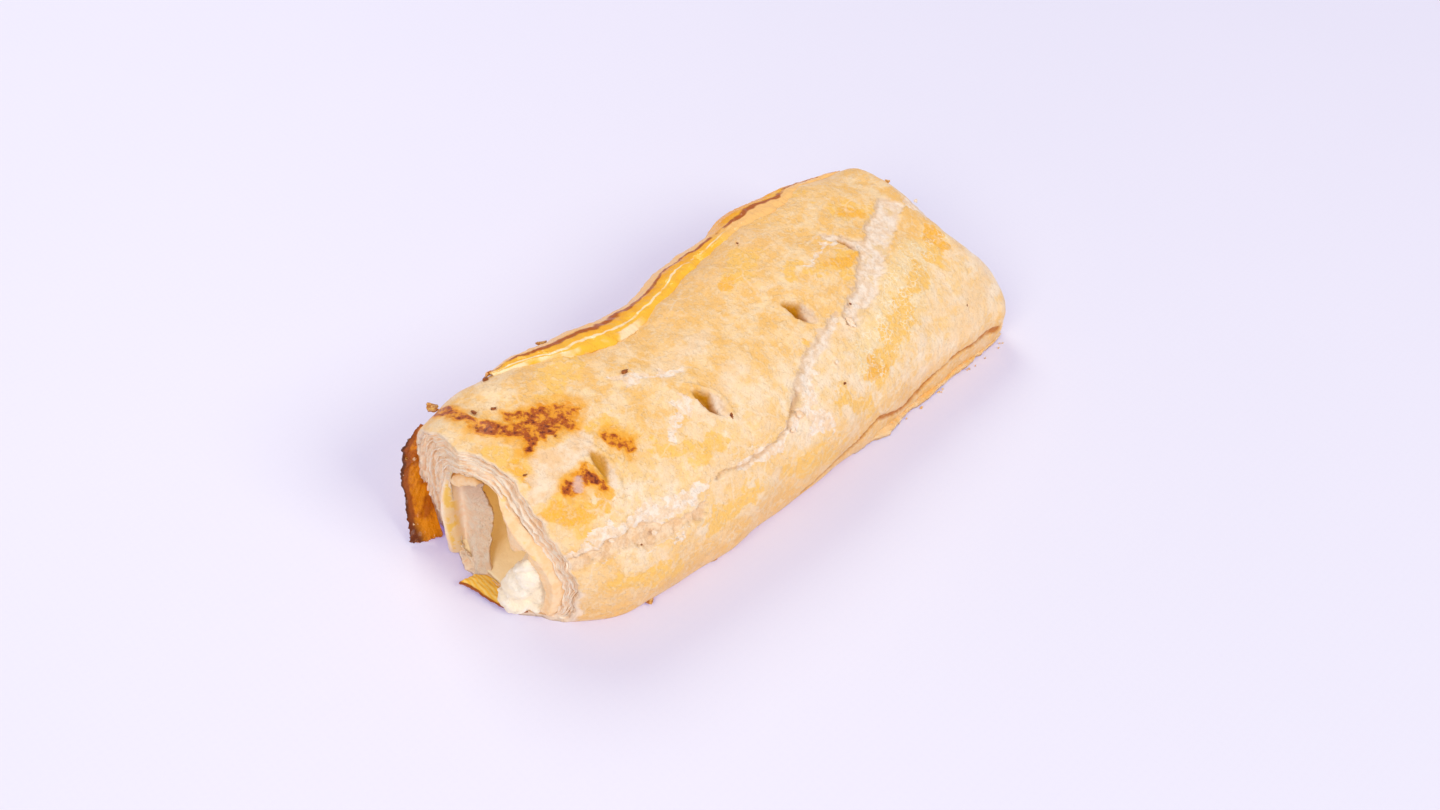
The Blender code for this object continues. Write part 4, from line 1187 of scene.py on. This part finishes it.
# On the fin: toasted patches, a burnt edge, and painted highlights as pale spots. On the flap:
# pale streaks.
streaks = amber.add("ShaderNodeTexWave", {
    "Vector": amber.bent_place(3, 1.0), "Scale": 0.5 / (1.5 * MM), "Distortion": 1.5,
    "Detail": 3.0}, wave_type="BANDS", bands_direction="Y").outputs["Fac"]
edge = amber.plus(wavering, amber.times(fin, 0.10))
burnt = amber.times(amber.stretch(edge, 0.90, 1.0), amber.minus(1.0, side))
amber.coats(
    (side, 0.5, amber.blend(amber.stretch(across, 0.1, 0.6), (0.97, 0.58, 0.06),
                            (0.88, 0.36, 0.01))),
    (tan, side, (0.93, 0.54, 0.19)),
    (line, side, (0.42, 0.095, 0.012)),
    (pale_line, 0.7, (1.0, 0.88, 0.62)),
    (fin, 1, (0.82, 0.27, 0.004)),
    (amber.times(fin, amber.blotches(6, 0.43, 0.58, 6)), 0.8, (0.40, 0.07, 0.004)),
    (amber.minus(1.0, amber.math("MAXIMUM", side, fin)), 0.9,
     amber.blend(streaks, (0.95, 0.53, 0.05), (0.98, 0.72, 0.22))),
    (burnt, 1, (0.36, 0.08, 0.012)),
    (fin, amber.stretch(edge, 1.06, 1.18), (0.10, 0.02, 0.008)),
    ("burnt_tip", amber.blotches(1.6, 0.25, 0.5, 5), (0.13, 0.02, 0.008)),
    (amber.times(fin, amber.blotches(1.8, 0.66, 0.70, 3)), 0.7, (1.0, 0.80, 0.50)))
amber.finish(films, (amber.blotches(1.6, 0.2, 0.8, 3), 0.22))


# The foot: the lowest leaf of dough, which steps out under the crust along the right side.
# It is browned like the crust and baked fast to it.
FOOT_Y, FOOT_STEP, FOOT_WALL = (18, 83), 0.8, 1.8


def right_foot(u, v):
    y = mix(*FOOT_Y, u)
    lobe = 1.3 * hump(y - 31, 5)
    reach = FOOT_STEP * np.sin(math.pi * u) ** 0.5 + lobe + 0.5 * torn(u * 12, 1.0, 0.5, 6)
    return as_points(right_side(y) - 3 + v * (2.2 + reach), y, 1.6 - 0.5 * v)


foot = sheet("right_foot", 260, 12, right_foot, FOOT_WALL)
push_out(foot, 0.2 * grain(get_points(foot), 1.6, 3, 44))
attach(foot, "root")
foot.data.materials.append(baked.material)


# The burnt specks: drops of egg wash that boiled over, fell on the crust and burnt dark.
# Each sticks where it fell: its angle round the section, y, and length, width and height.
BURNT_SPECKS = ((114, -68.6, 1.6, 0.9, 0.4), (113, -64.5, 1.3, 0.8, 0.4),
                (100, -33.4, 1.9, 1.1, 0.5), (133, -58.5, 2.6, 1.4, 0.7),
                (104, -71.3, 0.8, 0.6, 0.3), (72, -70.6, 0.9, 0.5, 0.3),
                (86, -58.7, 0.6, 0.5, 0.3), (51, -20, 1.3, 0.8, 0.5),
                (58, 30, 0.7, 0.5, 0.3), (30, 14, 0.9, 0.6, 0.3), (20, 66, 0.6, 0.4, 0.3),
                (128, 22, 0.8, 0.5, 0.3), (22, -56, 0.6, 0.4, 0.2))


def chip(name, place, size, degrees, seed, tilt=(0, 0, 1)):
    """A small torn flake: a sphere squashed to a size, roughened and laid on a slope."""
    bpy.ops.object.select_all(action="DESELECT")
    bpy.ops.mesh.primitive_ico_sphere_add(subdivisions=3, radius=1)
    piece = bpy.context.object
    piece.name = piece.data.name = name
    ball = get_points(piece)
    swell = 1 + 0.45 * fractal(ball * 1.3 + (seed, 0, 0), 0.8, 2.1, 4)
    ball = ball * swell[:, None] * np.array(size) / 2
    ball[:, 2] += 0.35 * size[2] * (ball[:, 0] / size[0] * 2) ** 2
    lay = Vector((0, 0, 1)).rotation_difference(Vector(tilt)).to_matrix()
    lay = np.array(lay @ turned(degrees, "Z").to_3x3())
    set_points(piece, placed(ball @ lay.T + np.array(place)))
    piece.data.shade_smooth()
    return piece


def crust_place(degrees, y):
    """Where the crust is at an angle and y, and the way it faces there."""
    angle, y = np.radians(degrees) + np.array((0, 0.02, 0)), y + np.array((0, 0, 0.5))
    x, z = crust(y, angle)
    here, round_it, further = as_points(x, y, z)
    facing = np.cross(further - here, round_it - here)
    facing = facing / np.linalg.norm(facing)
    outward = np.array((math.cos(angle[0]), 0, math.sin(angle[0])))
    return here, facing * np.sign(facing @ outward)


def chips_on_crust(name, places, seed):
    """A chip at each (angle, y, length, width, height), joined into one."""
    made = []
    for k, (degrees, y, *size) in enumerate(places):
        place, facing = crust_place(degrees, y)
        made.append(chip(f"{name}_{k}", place + facing * 0.3, size, 50 * k, seed + k, facing))
    return join(name, made)


specks = chips_on_crust("burnt_specks", BURNT_SPECKS, 0)
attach(specks, "root")
char = Look("burnt wash", Roughness=0.45, Specular_IOR_Level=0.3)
char.tone = char.mottled((0.16, 0.035, 0.01), (0.48, 0.14, 0.02), 0.6, 0.3, 0.7, 4)
char.finish(specks, (char.blotches(0.3, 0.2, 0.8, 3), 0.08))


# The dough flakes: scraps of baked leaf beside the split and the trough.
# They stand off the crust, held by an edge, at places and of sizes given as for the specks.
DOUGH_FLAKES = ((50, 26.5, 2.8, 2.0, 0.7), (33, -3, 2.2, 1.8, 0.6), (29, -7, 1.6, 1.2, 0.5),
                (40, 15, 1.2, 0.9, 0.4),
                (24, -52, 1.5, 1.0, 0.4), (30, -62, 1.3, 0.9, 0.4), (100, 77, 1.4, 1.0, 0.4))
flakes = chips_on_crust("dough_flakes", DOUGH_FLAKES, 60)
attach(flakes, "root")
flakes.data.materials.append(flaky.material)


# The amber chips: drips of egg wash that set hard and curled. Some cling to the roll's left
# side and far end, and the others lie on the table at its right.
# Each chip: x, y, z, then length, width and height, and how far it is turned.
AMBER_CHIPS = ((-28.6, -70.5, 30.5, 3.2, 2.2, 1.5, 20), (-31.0, -36.0, 28.6, 3.0, 1.2, 0.9, 70),
               (29.8, -54.0, 0.9, 2.8, 2.2, 1.5, 40), (31.2, -34.5, 0.7, 2.2, 0.7, 0.6, 60),
               (20.5, -72.5, 0.4, 1.6, 0.6, 0.5, 10), (-26.5, -80.0, 22.0, 1.6, 0.8, 0.8, 130),
               (-17.0, 77.5, 32.4, 1.4, 1.0, 0.8, 30))
chips = join("amber_chips", [chip(f"chip_{k}", place, (a, b, c), degrees, 20 + k)
                             for k, (*place, a, b, c, degrees) in enumerate(AMBER_CHIPS)])
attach(chips, "root")
glassy = Look("amber drips", Roughness=0.3, Specular_IOR_Level=0.2, Coat_Weight=0.5,
              Coat_Roughness=0.1)
glassy.tone = glassy.mottled((0.88, 0.50, 0.12), (0.50, 0.16, 0.02), 1.0, 0.35, 0.6, 4)
glassy.finish(chips, (glassy.blotches(0.5, 0.2, 0.8, 3), 0.12))


# The loose crumbs: bits of crust that fell off the right side and lie on the table near it.
# How many there are, and their least and greatest length, width and height.
CRUMB_COUNT, CRUMB_SIZES = 16, (0.25, 0.7)
scatter = np.random.default_rng(4)
crumbs = []
for k in range(CRUMB_COUNT):
    y = scatter.uniform(20, 86)
    size = scatter.uniform(*CRUMB_SIZES, 3)
    x = right_side(y) + scatter.uniform(0.2, 1.4)
    crumbs.append(chip(f"crumb_{k}", (x, y, 0.3 * size[2]), size, 40 * k, 40 + k))
crumbs = join("loose_crumbs", crumbs)
lying = get_points(crumbs)
lying[:, 2] = np.maximum(lying[:, 2], 0.02 * MM)
set_points(crumbs, lying)
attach(crumbs, "root")
crumbs.data.materials.append(baked.material)
